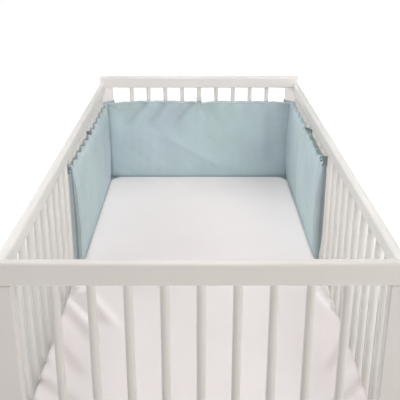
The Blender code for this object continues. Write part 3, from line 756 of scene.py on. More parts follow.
def cotton_material(name, colour, pitch):
    """Woven cotton, its hue drifting a little between greener and bluer, with painted shade from
    the mesh's mask.
    """
    made, w, shader = start_material(
        name, Roughness=0.88, Specular_IOR_Level=0.25, Sheen_Weight=0.12, Sheen_Roughness=0.45
    )
    weave = w.group("plain weave", weave_group, Pitch=pitch, Mottle=0.05)
    greener, bluer = ((*np.multiply(colour, share), 1.0) for share in COTTON_DRIFT)
    drift = w.blend(weave["Tint"], greener, bluer)
    w.feed(shader["Base Color"], w.shaded(weave["Shade"], with_painted_shade(w, colour, drift, PAINTED_SHADE_TINT)))
    w.feed(shader["Normal"], w.bump(weave["Height"], 0.00025, 0.55))
    return made


def sheet_material(colour, pitch):
    """Knitted cotton of the fitted sheet, with painted shade from the mesh's mask."""
    made, w, shader = start_material(
        "white_knitted_cotton", Roughness=0.92, Specular_IOR_Level=0.2, Sheen_Weight=0.08
    )
    knit = w.group("fine knit", knit_group, Pitch=pitch, Mottle=0.012)
    toned = with_painted_shade(w, colour, (*colour, 1.0), SHEET_SHADE_TINT)
    w.feed(shader["Base Color"], w.shaded(knit["Shade"], toned))
    w.feed(shader["Normal"], w.bump(knit["Height"], 0.0002, 0.4))
    return made


def paint_material(where, colour):
    """Warm white satin paint on wood, with painted light: a touch darker at the foot and lighter on
    the sides and at the head.
    """
    name = "warm_white_satin_with_painted_light_" + where
    made, w, shader = start_material(name, Specular_IOR_Level=0.4)
    paint = w.group("brushed paint", paint_group)
    toned = tuple(np.multiply(colour, PAINTED_LIGHT_SHARES[where]))
    w.feed(shader["Base Color"], w.shaded(paint["Shade"], toned))
    w.feed(shader["Roughness"], paint["Gloss"])
    w.feed(shader["Normal"], w.bump(paint["Height"], 0.00012, 0.35))
    return made


def wood_material(colour):
    """Bare softwood of the mattress base."""
    made, w, shader = start_material("bare_softwood", Roughness=0.6)
    dark = (*(WOOD_DARK * part for part in colour), 1.0)
    grain = w.group("softwood grain", wood_group, Light=(*colour, 1.0), Dark=dark)
    w.feed(shader["Base Color"], grain["Colour"])
    w.feed(shader["Normal"], w.bump(grain["Height"], 0.0003, 0.4))
    return made


# ---- mesh helpers


def smooth(share):
    share = np.clip(share, 0.0, 1.0)
    return share * share * (3 - 2 * share)


def mix(a, b, share):
    return a + (b - a) * share


def hump(value, width):
    """1 at 0, falling away softly on both sides."""
    return np.exp(-((value / width) ** 2))


def by_side(pair, x):
    """A number of the left or of the right side for each place."""
    return np.where(x < 0, pair[-1], pair[1])


def curve_through(table, at):
    """A smooth curve through a table of (place, value)."""
    xs, ys = np.array(table, float).T
    steps, rises = np.diff(xs), np.diff(ys)
    slopes = rises / steps
    tangents = np.concatenate([slopes[:1], (slopes[:-1] + slopes[1:]) / 2, slopes[-1:]])
    turning = np.concatenate([[False], slopes[:-1] * slopes[1:] <= 0, [False]])
    tangents[turning] = 0.0
    at = np.clip(at, xs[0], xs[-1])
    i = np.clip(np.searchsorted(xs, at, side="right") - 1, 0, len(steps) - 1)
    t = (at - xs[i]) / steps[i]
    t2, t3 = t * t, t * t * t
    return (
        (2 * t3 - 3 * t2 + 1) * ys[i]
        + (t3 - 2 * t2 + t) * steps[i] * tangents[i]
        + (3 * t2 - 2 * t3) * ys[i + 1]
        + (t3 - t2) * steps[i] * tangents[i + 1]
    )


def column(rows, place, value, at):
    """A smooth curve through one of a table's values, against another one that is its place."""
    return curve_through([(getattr(row, place), getattr(row, value)) for row in rows], at)


def straight(table, at):
    """Straight lines through a table of (place, value)."""
    return np.interp(at, *zip(*table))


def top_level(panel, along):
    """Height of a panel's top edge, without its scallops."""
    return END_RAIL_TOP - curve_through(TOPS[panel], along)


def way_along(places):
    """How far along a line of places each one lies."""
    return np.concatenate([[0.0], np.cumsum(np.linalg.norm(np.diff(places, axis=0), axis=1))])


def beside_line(x, y, line):
    """(share, far): how far along a line each place lies and how far off it."""
    x0, y0, x1, y1 = line
    run, climb = x1 - x0, y1 - y0
    share = ((x - x0) * run + (y - y0) * climb) / (run * run + climb * climb)
    share = np.clip(share, 0.0, 1.0)
    return share, np.hypot(x - x0 - share * run, y - y0 - share * climb)


def waves(a, b, seed, scale, count=7):
    """A soft uneven field between about -1 and 1, the same each run."""
    draw = np.random.default_rng(seed)
    total = np.zeros(np.broadcast(a, b).shape)
    for _ in range(count):
        angle, phase = draw.uniform(0, math.tau, 2)
        size = draw.uniform(0.6, 1.6) / scale
        total += np.sin((a * math.cos(angle) + b * math.sin(angle)) * size * math.tau + phase)
    return total / math.sqrt(count)


def shown(name, data):
    """A new object in the scene."""
    obj = bpy.data.objects.new(name, data)
    bpy.context.scene.collection.objects.link(obj)
    return obj


def new_piece(name, mesh, look):
    """Adds the finished piece that stands for one node of the part."""
    mesh.name = name
    obj = shown(name + "_fine", mesh)
    mesh.materials.clear()
    mesh.materials.append(look)
    mesh.shade_smooth()
    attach(obj, "root")
    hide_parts(name)
    return obj


def wooden_piece(name, mesh, look):
    """A piece with round edges beside flat faces, which stay flat in the light."""
    obj = new_piece(name, mesh, look)
    obj.modifiers.new("even_shading", "WEIGHTED_NORMAL").keep_sharp = True


def with_painted_shade_mask(mesh, painted_shades):
    """The mesh with the depth of painted shade at each of its points."""
    mask = mesh.attributes.new(PAINTED_SHADE_MASK, "FLOAT", "POINT")
    mask.data.foreach_set("value", painted_shades)
    return mesh


def mesh_from(bm):
    """A mesh of what a bmesh holds."""
    mesh = bpy.data.meshes.new("piece")
    bm.to_mesh(mesh)
    bm.free()
    return mesh


def mesh_of(points, faces):
    """A mesh from points and faces, its faces turned outwards."""
    mesh = bpy.data.meshes.new("piece")
    mesh.from_pydata([tuple(map(float, p)) for p in points], [], faces)
    bm = bmesh.new()
    bm.from_mesh(mesh)
    bmesh.ops.recalc_face_normals(bm, faces=bm.faces)
    bm.to_mesh(mesh)
    bm.free()
    return mesh


def joined(meshes):
    """One mesh of several."""
    bm = bmesh.new()
    for mesh in meshes:
        bm.from_mesh(mesh)
        bpy.data.meshes.remove(mesh)
    return mesh_from(bm)


def tube_faces(rings, around, closed=False, cap_way=1):
    """Faces of a tube of rings of points, with a cap at each end unless it is closed."""
    faces = []
    for row in range(rings if closed else rings - 1):
        low, high = row * around, (row + 1) % rings * around
        for i in range(around):
            j = (i + 1) % around
            faces.append((low + i, low + j, high + j, high + i))
    if not closed:
        faces.append(tuple(range(around))[::cap_way])
        faces.append(tuple(range((rings - 1) * around, rings * around)))
    return faces


def grid_faces(index, turned=False):
    """Faces of a grid of point numbers."""
    corners = [index[:-1, :-1], index[:-1, 1:], index[1:, 1:], index[1:, :-1]]
    if turned:
        corners[1::2] = corners[3], corners[1]
    return np.stack(corners, axis=2).reshape(-1, 4).tolist()


def round_rectangle(half_x, half_y, radii, steps):
    """(x, y, sign of x) of points round a rectangle, with a radius for each corner."""
    signs = ((1, 1), (-1, 1), (-1, -1), (1, -1))
    for quarter, ((sign_x, sign_y), radius) in enumerate(zip(signs, radii)):
        for i in range(steps + 1):
            turn = math.radians(90 * quarter + 90 * i / steps)
            x = sign_x * (half_x - radius) + radius * math.cos(turn)
            yield x, sign_y * (half_y - radius) + radius * math.sin(turn), sign_x


def board_mesh(size, centre, rounding=LOW_ROUND, steps=4):
    """A board with round edges, with flat faces kept flat."""
    bm = bmesh.new()
    bmesh.ops.create_cube(bm, size=1.0)
    bmesh.ops.scale(bm, vec=size, verts=bm.verts)
    bmesh.ops.bevel(
        bm, geom=bm.edges[:], offset=rounding, segments=steps, profile=0.5, affect="EDGES"
    )
    bmesh.ops.translate(bm, vec=centre, verts=bm.verts)
    return mesh_from(bm)


def bar_mesh(axis, size, centre, top_round, end_round, steps=6):
    """A rail along X (axis 0) or Y (axis 1), softly rounded along its top and at its ends."""
    length, thick, tall = size
    ends = [(-length / 2, end_round)]
    for i in range(1, steps + 1):
        turn = math.pi / 2 * i / steps
        way = -length / 2 + end_round * (1 - math.cos(turn))
        ends.append((way, end_round * (1 - math.sin(turn))))
    ends += [(-way, inset) for way, inset in reversed(ends)]
    points = []
    for way, inset in ends:
        rounds = (top_round, top_round, LOW_ROUND, LOW_ROUND)
        radii = [max(radius - inset, RAIL_LEAST_ROUND) for radius in rounds]
        for out, up, _ in round_rectangle(thick / 2 - inset, tall / 2 - inset, radii, steps):
            place = (way, out, up) if axis == 0 else (out, way, up)
            points.append(np.add(centre, place))
    return mesh_of(points, tube_faces(len(ends), 4 * (steps + 1)))


def slat_mesh(low, high, x, y, sides):
    """A round slat with slightly eased ends."""
    tip = 1 - SLAT_EASE / SLAT_RADIUS
    rows = ((low, tip), (low + SLAT_EASE, 1.0))
    rows += tuple((mix(low, high, share), 1.0) for share in (0.25, 0.5, 0.75))
    rows += ((high - SLAT_EASE, 1.0), (high, tip))
    points = []
    for z, share in rows:
        for i in range(sides):
            turn, reach = math.tau * i / sides, SLAT_RADIUS * share
            points.append((x + reach * math.cos(turn), y + reach * math.sin(turn), z))
    return mesh_of(points, tube_faces(len(rows), sides, cap_way=-1))


# ---- cot bed


def build_cot_ends(colour):
    """Posts, rails and slats of the two ends, one piece for each node."""
    height = END_RAIL_SIZE[2]
    rail_under = END_RAIL_TOP - height
    tall = rail_under - TOUCH_GAP
    low_size = (2 * POST_INNER_X - 2 * TOUCH_GAP, POST_SIZE[1], LOW_RAIL_HEIGHT)
    for end, sign in (("foot", -1), ("head", 1)):
        y = sign * END_Y
        paint = paint_material(end, colour)
        centre = (0, y, END_RAIL_TOP - height / 2)
        rail = bar_mesh(0, END_RAIL_SIZE, centre, END_RAIL_ROUND, END_RAIL_TIP)
        wooden_piece(f"end_rail_{end}", rail, paint)
        low = board_mesh(low_size, (0, y, LOW_RAIL_TOP - LOW_RAIL_HEIGHT / 2))
        wooden_piece(f"low_rail_{end}", low, paint)
        for side in (-1, 1):
            x = side * (POST_INNER_X + POST_SIZE[0] / 2)
            post = board_mesh((*POST_SIZE, tall), (x, y, tall / 2))
            wooden_piece(f"post_{end}_{PANELS[side]}", post, paint)
        for i in range(END_SLATS):
            x = (i - (END_SLATS - 1) / 2) * END_PITCH
            slat = slat_mesh(LOW_RAIL_TOP + TOUCH_GAP, tall, x, y, END_SLAT_SIDES)
            wooden_piece(f"slat_{end}_{i + 1}", slat, paint)


def build_cot_sides(paint):
    """Each long side: two rails and its round slats."""
    top_length = 2 * (END_Y - END_RAIL_SIZE[1] / 2 - TOUCH_GAP)
    low_length = 2 * (END_Y - POST_SIZE[1] / 2 - TOUCH_GAP)
    thick, tall = SIDE_RAIL_SIZE
    top_middle = END_RAIL_TOP - SIDE_RAIL_DROP - tall / 2
    for side in (-1, 1):
        x = side * SIDE_X
        top_size, centre = (top_length, thick, tall), (x, 0, top_middle)
        meshes = [
            bar_mesh(1, top_size, centre, SIDE_RAIL_ROUND, LOW_ROUND),
            board_mesh((thick, low_length, tall), (x, 0, LOW_RAIL_TOP - tall / 2)),
        ]
        for k in range(SIDE_SLATS):
            y = (k - (SIDE_SLATS - 1) / 2) * SIDE_PITCH
            meshes.append(slat_mesh(LOW_RAIL_TOP, top_middle - tall / 2, x, y, SIDE_SLAT_SIDES))
        wooden_piece(f"side_{PANELS[side]}", joined(meshes), paint)


def build_mattress_base(wood):
    """The slatted base under the mattress."""
    top = MATTRESS_TOP - MATTRESS_THICKNESS - TOUCH_GAP
    middle = top - BASE_THICKNESS / 2
    length = 2 * (END_Y - POST_SIZE[1] / 2 - TOUCH_GAP)
    between = 2 * (BASE_HALF_WIDTH - BASE_BEARER)
    boards = []
    for sign in (-1, 1):
        x, y = sign * (BASE_HALF_WIDTH - BASE_BEARER / 2), sign * ((length - BASE_BEARER) / 2)
        boards.append(((BASE_BEARER, length, BASE_THICKNESS), (x, 0, middle)))
        boards.append(((between, BASE_BEARER, BASE_THICKNESS), (0, y, middle)))
    inner = length - 2 * BASE_BEARER
    for i in range(BASE_SLATS):
        y = (i + 1) * (inner / (BASE_SLATS + 1)) - inner / 2
        boards.append(((between, *BASE_SLAT_SIZE), (0, y, top - BASE_SLAT_SIZE[1] / 2)))
    base = joined([board_mesh(size, centre, BASE_ROUND) for size, centre in boards])
    wooden_piece("base", base, wood)


# ---- mattress


def rounded_plan(u, v, half_x, half_y, radius):
    """A square grid's points laid on a rectangle with round corners."""
    x, y = u * half_x, v * half_y
    a = np.clip((np.abs(x) - half_x + radius) / radius, 0.0, 1.0)
    b = np.clip((np.abs(y) - half_y + radius) / radius, 0.0, 1.0)
    round_x = half_x - radius + radius * a * np.sqrt(1 - b * b / 2)
    round_y = half_y - radius + radius * b * np.sqrt(1 - a * a / 2)
    x = np.where(a > 0, np.sign(x) * round_x, x)
    y = np.where(b > 0, np.sign(y) * round_y, y)
    return x, y


def sheet_rings(edge, half_x, half_y, radius):
    """Rings of points round the mattress: the round top edge, the side and the underside's edge."""
    limit = np.array([half_x - radius, half_y - radius])
    outward = edge - np.clip(edge, -limit, limit)
    outward /= np.linalg.norm(outward, axis=1)[:, None]
    turns = [math.pi / 2 * i / SHEET_EDGE_STEPS for i in range(1, SHEET_EDGE_STEPS + 1)]
    side_drop = MATTRESS_THICKNESS - 2 * MATTRESS_EDGE
    low = MATTRESS_THICKNESS - MATTRESS_EDGE
    rows = [(MATTRESS_EDGE * math.sin(t), MATTRESS_EDGE * (1 - math.cos(t))) for t in turns]
    for i in range(1, SHEET_SIDE_STEPS + 1):
        rows.append((MATTRESS_EDGE, MATTRESS_EDGE + side_drop * i / SHEET_SIDE_STEPS))
    rows += [(MATTRESS_EDGE * math.cos(t), low + MATTRESS_EDGE * math.sin(t)) for t in turns]
    way = way_along(edge)
    corner = smooth(1 - np.linalg.norm(np.abs(edge) - [half_x, half_y], axis=1) / CORNER_REACH)
    shift = GATHER_SHIFT * np.sin(way / GATHER_SHIFT_PITCH)
    gathers = np.sin(way / GATHER_PITCH + shift) * corner
    for out, drop in rows:
        depth = smooth((drop - GATHER_START) / GATHER_RUN)
        ripple = -CORNER_PULL * depth * corner + GATHER_HEIGHT * gathers * depth
        ring = edge + outward * (out + np.minimum(ripple, GATHER_LIMIT))[:, None]
        yield np.column_stack([ring, np.full(len(edge), MATTRESS_TOP - drop)])


def build_mattress(cloth):
    """The mattress in its fitted sheet: a soft flat top, round edges and gathered corners."""
    across, along = SHEET_GRID
    half_x = MATTRESS_HALF_WIDTH - MATTRESS_EDGE
    half_y = (MATTRESS_HEAD_Y - MATTRESS_FOOT_Y) / 2 - MATTRESS_EDGE
    radius = MATTRESS_CORNER - MATTRESS_EDGE
    u, v = np.meshgrid(np.linspace(-1, 1, across + 1), np.linspace(-1, 1, along + 1))
    x, y = rounded_plan(u, v, half_x, half_y, radius)
    index = np.arange(x.size).reshape(x.shape)
    rim = np.concatenate([index[0, :-1], index[:-1, -1], index[-1, :0:-1], index[:0:-1, 0]])
    flat = np.stack([x.ravel(), y.ravel()], axis=1)
    inside = np.minimum(half_x - np.abs(flat[:, 0]), half_y - np.abs(flat[:, 1]))
    lift = SHEET_DOME * smooth(inside / SHEET_DOME_RUN) - SHEET_SINK
    wave = waves(flat[:, 0], flat[:, 1], SHEET_WAVE_SEED, SHEET_WAVE_SIZE)
    lift += SHEET_WAVE * wave * smooth(inside / SHEET_WAVE_RUN)
    sides = list(sheet_rings(flat[rim], half_x, half_y, radius))
    inner = np.setdiff1d(index, rim)
    below = np.column_stack([flat, np.full(index.size, MATTRESS_TOP - MATTRESS_THICKNESS)])
    points = np.concatenate([np.column_stack([flat, MATTRESS_TOP + lift]), *sides, below[inner]])
    points[:, 1] += (MATTRESS_HEAD_Y + MATTRESS_FOOT_Y) / 2
    points[:, 0] += fill_out(points[:, 0], points[:, 1])
    shallow = 1 - smooth((MATTRESS_TOP - points[:, 2]) / SHEET_RELIEF_DEPTH)
    relief = sheet_relief(points[:, 0], points[:, 1]) * shallow
    points[:, 2] += relief
    around, rows = len(rim), len(sides)
    rings = np.arange(around * rows).reshape(rows, around) + index.size
    rings = np.concatenate([[rim], rings])
    rings = np.column_stack([rings, rings[:, 0]])
    under = np.zeros(index.size, int)
    under[rim] = rings[-1, :-1]
    under[inner] = np.arange(len(inner)) + index.size + around * rows
    faces = grid_faces(index) + grid_faces(rings, turned=True)
    faces += grid_faces(under.reshape(index.shape), turned=True)
    # painted shade on the sheet: by where it lies along and across the mattress, and in its creases
    beside = smooth((np.abs(points[:, 0]) - SHEET_SIDE_START) / SHEET_SIDE_RUN)
    beside = 1 + beside * straight(SHEET_SIDE_SHARES, points[:, 1])
    painted_shades = straight(SHEET_TONES, points[:, 1]) * beside - relief / SHEET_FOLD_DEPTH
    mesh = with_painted_shade_mask(mesh_of(points, faces), np.clip(painted_shades, 0.0, 1.0))
    piece = new_piece("mattress", mesh, cloth)


def fill_out(x, y):
    """How far the mattress swells sideways where no bumper is tucked in beside it."""
    free = smooth((by_side(END_YS, x) - FILL_START - y) / FILL_RUN)
    return np.sign(x) * free * straight(FILL_OUT, np.abs(x))


def sheet_relief(x, y):
    """Soft creases of the sheet on the mattress."""
    total = np.zeros(x.shape)
    (start, run), (wide, narrower) = SHEET_TAPER, SHEET_SPREAD
    for *line, width, rise in SHEET_CREASES:
        share, far = beside_line(x, y, line)
        taper = 1 - smooth((share - start) / run)
        total = total + rise * taper * hump(far, width * (wide - narrower * taper))
    return total


# ---- bumper


def side_stations(sign):
    """Places along a long side, from its free end to the head corner."""
    end_y, corner_y = END_YS[sign], BACK_Y - BACK_CORNERS[sign]
    first = end_y + END_INSETS[-1] + END_STEP
    rest = np.linspace(first, corner_y - CORNER_GAP, int((corner_y - first) / STATION_STEP))
    for y in (*(end_y + inset for inset in END_INSETS), *rest):
        swell = (1 - math.cos(math.tau * y / SIDE_PITCH)) / 2
        swell *= smooth((corner_y - y) / CORNER_FADE) * smooth((y - end_y) / END_FADE)
        x, inset = sign * BACK_X, y - end_y
        yield Station(PANELS[sign], y, x, y, -sign, 0.0, SLAT_CLEARANCE, swell, 0.0, inset)


def corner_stations(sign):
    """Places round a head corner, from the long side to the head."""
    radius = BACK_CORNERS[sign]
    for i in range(CORNER_STEPS + 1):
        share = i / CORNER_STEPS
        angle = share * math.pi / 2
        out_x, out_y = sign * math.cos(angle), math.sin(angle)
        x, y = sign * (BACK_X - radius) + radius * out_x, BACK_Y - radius + radius * out_y
        clear = mix(SLAT_CLEARANCE, POST_CLEARANCE, smooth(share / POST_BLEND_ROUND_CORNER))
        panel, along = (PANELS[sign], y) if share < 0.5 else ("head", x)
        yield Station(panel, along, x, y, -out_x, -out_y, clear, 0.0, 0.0, 1.0)


def head_stations():
    """Places along the head, from left to right."""
    first, last = BACK_CORNERS[-1] + CORNER_GAP - BACK_X, BACK_X - BACK_CORNERS[1] - CORNER_GAP
    for x in np.linspace(first, last, int((last - first) / STATION_STEP)):
        at_post = smooth((abs(x) - POST_BLEND[0]) / (POST_BLEND[1] - POST_BLEND[0]))
        swell = (1 - math.cos(math.tau * x / END_PITCH)) / 2 * (1 - at_post)
        clear = mix(SLAT_CLEARANCE, POST_CLEARANCE, at_post)
        deep = smooth((BACK_X - BACK_CORNERS[1 if x > 0 else -1] - abs(x)) / HEAD_BLEND)
        yield Station("head", x, x, BACK_Y, 0.0, -1.0, clear, swell, deep, 1.0)


def bumper_stations():
    """Places along the bumper's back, with an array for each of their values."""
    found = [*side_stations(-1), *corner_stations(-1), *head_stations()]
    found += [*corner_stations(1)][::-1] + [*side_stations(1)][::-1]
    s = SimpleNamespace(**dict(zip(Station._fields, map(np.array, zip(*found)))))
    s.way = way_along(np.stack([s.x, s.y], axis=1))
    left, right = (BACK_Y - BACK_CORNERS[sign] - END_YS[sign] for sign in (-1, 1))
    left_half, right_half = (BACK_CORNERS[sign] * math.pi / 4 for sign in (-1, 1))
    from_left = abs(s.way - (left + left_half))
    from_right = abs(s.way - (s.way[-1] - right - right_half))
    s.from_channel = np.minimum(from_left, from_right)
    s.crown = np.ones(len(s.way))
    for panel, (left_run, right_run) in CROWN_RUNS.items():
        here = s.panel == panel
        rise = np.minimum(smooth(from_left / left_run), smooth(from_right / right_run))
        s.crown[here] = rise[here]
    return s


def in_columns(stations):
    """The same arrays as columns, to work with the rows of a grid."""
    return SimpleNamespace(**{key: array[:, None] for key, array in vars(stations).items()})


def top_heights(s):
    """Height of the top edge: no step where two panels meet, and scallops between side slats."""
    top = np.zeros(len(s.way))
    for panel in TOPS:
        here = s.panel == panel
        top[here] = top_level(panel, s.along[here])
    ease = smooth(s.from_channel / CHANNEL_LEVEL_RUN)
    for sign in (-1, 1):
        near = (s.from_channel < CHANNEL_LEVEL_RUN) & (sign * s.x > 0)
        level = top[near][[0, -1]].mean()
        top[near] = mix(level, top[near], ease[near])
    phase = (s.y / SIDE_PITCH) % 1.0
    fall, rise = SCALLOP_SHARES
    saw = np.where(phase < fall, 1 - phase / fall, (phase - fall) / rise)
    scallop = SCALLOP * (saw - SCALLOP_LEVEL) * s.crown * smooth(s.inset / SCALLOP_RUN)
    return top + np.where(s.panel != "head", scallop, 0.0)


def panel_creases(s, drop):
    """How far the front rises or sinks in the creases of each panel."""
    relief = np.zeros(drop.shape)
    for panel, creases in CREASES.items():
        here = s.panel[:, 0] == panel
        for *line, width, rise in creases:
            far = beside_line(s.along[here], drop[here], line)[1]
            relief[here] += rise * hump(far, width)
    return relief


def front_relief(s, drop, share, lumpiness):
    """Creases, lumps of wadding, seams and puckers on the front, as heights."""
    relief = panel_creases(s, drop) * (s.crown * smooth(share / RELIEF_START))
    body = s.crown * smooth(share / LUMP_START) * smooth((1.0 - share) / LUMP_END)
    lumps = sum(part * waves(s.way, drop, seed, size) for seed, size, part in LUMPS)
    relief += lumpiness * lumps * body
    # two stitched lines close each corner channel, with a narrow flat strip between them
    channel = hump(s.from_channel - CHANNEL_HALF, SEAM_WIDTH)
    relief -= SEAM_DEPTH * channel * smooth(share / SEAM_START)
    # one line along the top edge and one beside each free end
    relief -= TOP_SEAM_SHARE * SEAM_DEPTH * hump(drop - TOP_SEAM_DROP, SEAM_WIDTH) * s.crown
    end = hump(s.inset - END_SEAM_INSET, SEAM_WIDTH)
    relief -= SEAM_DEPTH * end * smooth(share / END_SEAM_START)
    # the top edge puckers at each side slat
    return relief - PUCKER_DEPTH * puckers(s, drop) * s.crown


def past_slat(y, before):
    """How far past a side slat each place lies, from a share of the pitch before it."""
    return ((y / SIDE_PITCH + before) % 1.0 - before) * SIDE_PITCH


def puckers(s, drop):
    """How deep each place lies in the short pleats that run forward from the side slats."""
    share, far = beside_line(past_slat(s.y, PUCKER_BEFORE), drop, PUCKER_LINE)
    depth = hump(far, PUCKER_WIDTH) * (1 - PUCKER_TAPER * share)
    return np.where((s.panel != "head") & (s.inset > PUCKER_INSET), depth, 0.0)


def rim_painted_shade(s, drop):
    """Painted shadow along the rim of a side panel where it comes in to the next slat."""
    phase = (s.y / SIDE_PITCH) % 1.0
    (start, rise), (end, fall) = RIM_START, RIM_END
    along = smooth((phase - start) / rise) * (1 - RIM_END_SHARE * smooth((phase - end) / fall))
    level = 1 - smooth((drop - RIM_DROP) / RIM_DROP)
    tone = along * level * straight(RIM_TONES, s.y)
    return np.where((s.panel != "head") & (s.inset > RIM_INSET), tone, 0.0)


def painted_shade_depths(s, drop, share, above):
    """How deep the painted shade lies on the front and on the back, from 0 to 1."""
    tones = (RIM_SHARES, END_BACK_TONES, END_FRONT_TONES, END_SEAM_TONES)
    rim_share, end_back, end_front, end_seam = (by_side(pair, s.x) for pair in tones)
    tones = (CORNER_TONES, CORNER_RUNS, SIDE_CORNER_TONES)
    corner_tone, corner_run, side_corner = (by_side(pair, s.x) for pair in tones)
    on_head = s.panel == "head"
    # painted shade in the puckers, along the rims by the slats, in the seams and at the free ends
    front = (puckers(s, drop) + rim_painted_shade(s, drop)) * s.crown
    channel = hump(s.from_channel - CHANNEL_HALF, SEAM_WIDTH)
    front = (front + SEAM_TONE * channel * smooth(share / SEAM_START)) * rim_share
    front += end_seam * hump(s.inset - END_SEAM_INSET, END_SEAM_SPREAD * SEAM_WIDTH)
    front += end_front * hump(s.inset, END_TONE_RUN)
    front += TOP_SEAM_TONE * hump(drop - TOP_SEAM_DROP, SEAM_WIDTH) * s.crown
    # painted shade along the head panel's top, in its corners and along the line on the mattress;
    # on the side panels, beside the head corners
    lower = 1 - smooth((share - LOWER_START) / LOWER_RUN)
    turned = HEAD_TOP_TONE * hump(drop, HEAD_TOP_RUN)
    corner = corner_tone * hump(s.from_channel, corner_run)
    turned = turned + corner * mix(CORNER_LOW_SHARE, 1.0, lower)
    turned = turned + FOOT_LINE_TONE * hump(above - FOOT_LINE_LEVEL, FOOT_LINE_RUN)
    beside_head = side_corner * hump(s.from_channel, SIDE_CORNER_RUN)
    front += np.where(on_head, turned, beside_head * lower)
    # painted shade in the hollows of the creases
    front += CREASE_TONE * np.clip(-panel_creases(s, drop) / CREASE_FULL, *CREASE_LIMITS)
    # painted shadow on the back beside each side slat, an even one on the head panel's back, and
    # more near the free ends
    beside = past_slat(s.y, 0.5) / SLAT_SHADE_WIDTH
    back = np.exp(-(beside**2) - drop / SLAT_SHADE_DROP) * s.crown
    back = np.where(on_head, HEAD_BACK_TONE, back)
    back = np.maximum(back, end_back * (1 - smooth(s.inset / END_BACK_RUN)))
    return np.clip(front, *FRONT_LIMITS), np.clip(back, 0.0, 1.0)


def ring_of(back, front):
    """Rows down the back and up the front."""
    return np.concatenate([back, front[:, ::-1]], axis=1)


def tucked_rows(stations, behind, ahead):
    """(height, back, front) of the rows below the mattress's top, where the band is tucked in."""
    tuck_back = stations.clear - SLAT_CLEARANCE + TUCK_CLEARANCE
    shoulder = mix(BACK_X - MATTRESS_HALF_WIDTH, BACK_Y - MATTRESS_HEAD_Y, stations.deep)
    for depth in TUCKED_DEPTHS:
        # how far the sheet's round shoulder stands back at this depth
        fall = np.clip(MATTRESS_EDGE - depth, 0.0, MATTRESS_EDGE)
        back_off = MATTRESS_EDGE - math.sqrt(max(MATTRESS_EDGE**2 - fall**2, 0.0))
        edge = shoulder + back_off - TUCK_GAP
        front = np.minimum(ahead, edge) if depth < MATTRESS_EDGE else edge
        round_off = smooth((depth - TUCK_ROUND_START) / TUCK_BLEND) * TUCK_ROUND
        back = mix(tuck_back, behind, smooth((TUCK_BLEND - depth) / TUCK_BLEND) * 0.5)
        height = np.full(len(behind), MATTRESS_TOP - depth)
        yield height, back + round_off, np.maximum(front - round_off, back + TUCK_LEAST)


def bumper_grid(stations, lumpiness):
    """Points and depths of painted shade of the band: a ring of (down the back, up the front) a
    station.
    """
    height = END_RAIL_TOP - PANEL_TOP_DROP - MATTRESS_TOP - LINE_ABOVE_MATTRESS
    rest = np.linspace(TOP_DROPS[-1] / height, 1.0, int((height - TOP_DROPS[-1]) / ROW_STEP))
    share = np.concatenate([[drop / height for drop in TOP_DROPS], rest[1:]])
    side, head, swells, follow = (
        column(ROWS_ABOVE, "place", key, share) for key in ("side", "head", "swell", "follow")
    )
    s, top = in_columns(stations), top_heights(stations)[:, None]
    z = mix(top, MATTRESS_TOP + LINE_ABOVE_MATTRESS, share)
    drop = top - z
    thickness = mix(side, head, s.deep)
    pinched = np.minimum(by_side(CHANNEL_THICKNESSES, s.x), thickness)
    thickness = mix(pinched, thickness, s.crown)
    # the free ends are drawn back to the slats at the top
    near_end = 1 - smooth(s.inset / END_DRAW_RUN)
    thickness *= 1 - (1 - END_DRAW) * near_end * (1 - smooth(drop / END_DRAW_DROP))
    thickness *= mix(TOP_THINNEST, 1.0, smooth(drop / TOP_ROUNDING))
    swell = SWELL * (swells + TOP_SWELL * (1 - smooth(share / TOP_SWELL_RUN))) * s.swell * s.crown
    behind = np.maximum(s.clear - swell, s.clear - SWELL)
    ahead = s.clear + thickness - follow * swell + front_relief(s, drop, share, lumpiness)
    rows = [(z, behind, ahead), *tucked_rows(stations, behind[:, -1], ahead[:, -1])]
    heights, backs, fronts = map(np.column_stack, zip(*rows))
    rounded = np.sqrt(np.clip(1 - (1 - s.inset / END_RUN) ** 2, 0, 1))
    end_share = np.where(s.inset < END_RUN, mix(END_FLAT, 1.0, rounded), 1.0)
    middle = (backs + fronts) / 2
    reach = ring_of(mix(middle, backs, end_share), mix(middle, fronts, end_share))
    places = s.x + s.nx * reach, s.y + s.ny * reach, ring_of(heights, heights)
    depths = top - heights
    front_shade, back_shade = painted_shade_depths(s, depths, depths / height, heights - MATTRESS_TOP)
    return np.stack(places, axis=2), ring_of(back_shade, front_shade)


def end_cap(points, painted_shades, faces, ring, tones):
    """Closes a free end with a padded face, a groove and a rounded bead beside the front."""
    rows = len(ring) // 2
    corners = np.array([points[k] for k in ring])
    back, front = corners[:rows], corners[::-1][:rows]
    lines = [list(ring[:rows])]
    for share in CAP_SHARES:
        out = CAP_PUFF * math.sin(math.pi * share / CAP_GROOVE) if share < CAP_GROOVE else 0.0
        line = mix(back, front, share)
        line[:, 1] -= out - CAP_GROOVE_DEPTH * hump(share - CAP_GROOVE, CAP_GROOVE_WIDTH)
        lines.append(list(range(len(points), len(points) + rows)))
        points.extend(line.tolist())
        # painted shade across the end face, by the given tones
        painted_shades.extend([float(straight(tones, share))] * rows)
    lines.append(list(ring[::-1][:rows]))
    for a, b in zip(lines, lines[1:]):
        for i in range(1, rows - 2):
            faces.append((a[i], a[i + 1], b[i + 1], b[i]))
    faces.append((lines[0][0], *(line[1] for line in lines), lines[-1][0]))
    faces.append((lines[0][-1], *(line[-2] for line in lines), lines[-1][-1]))


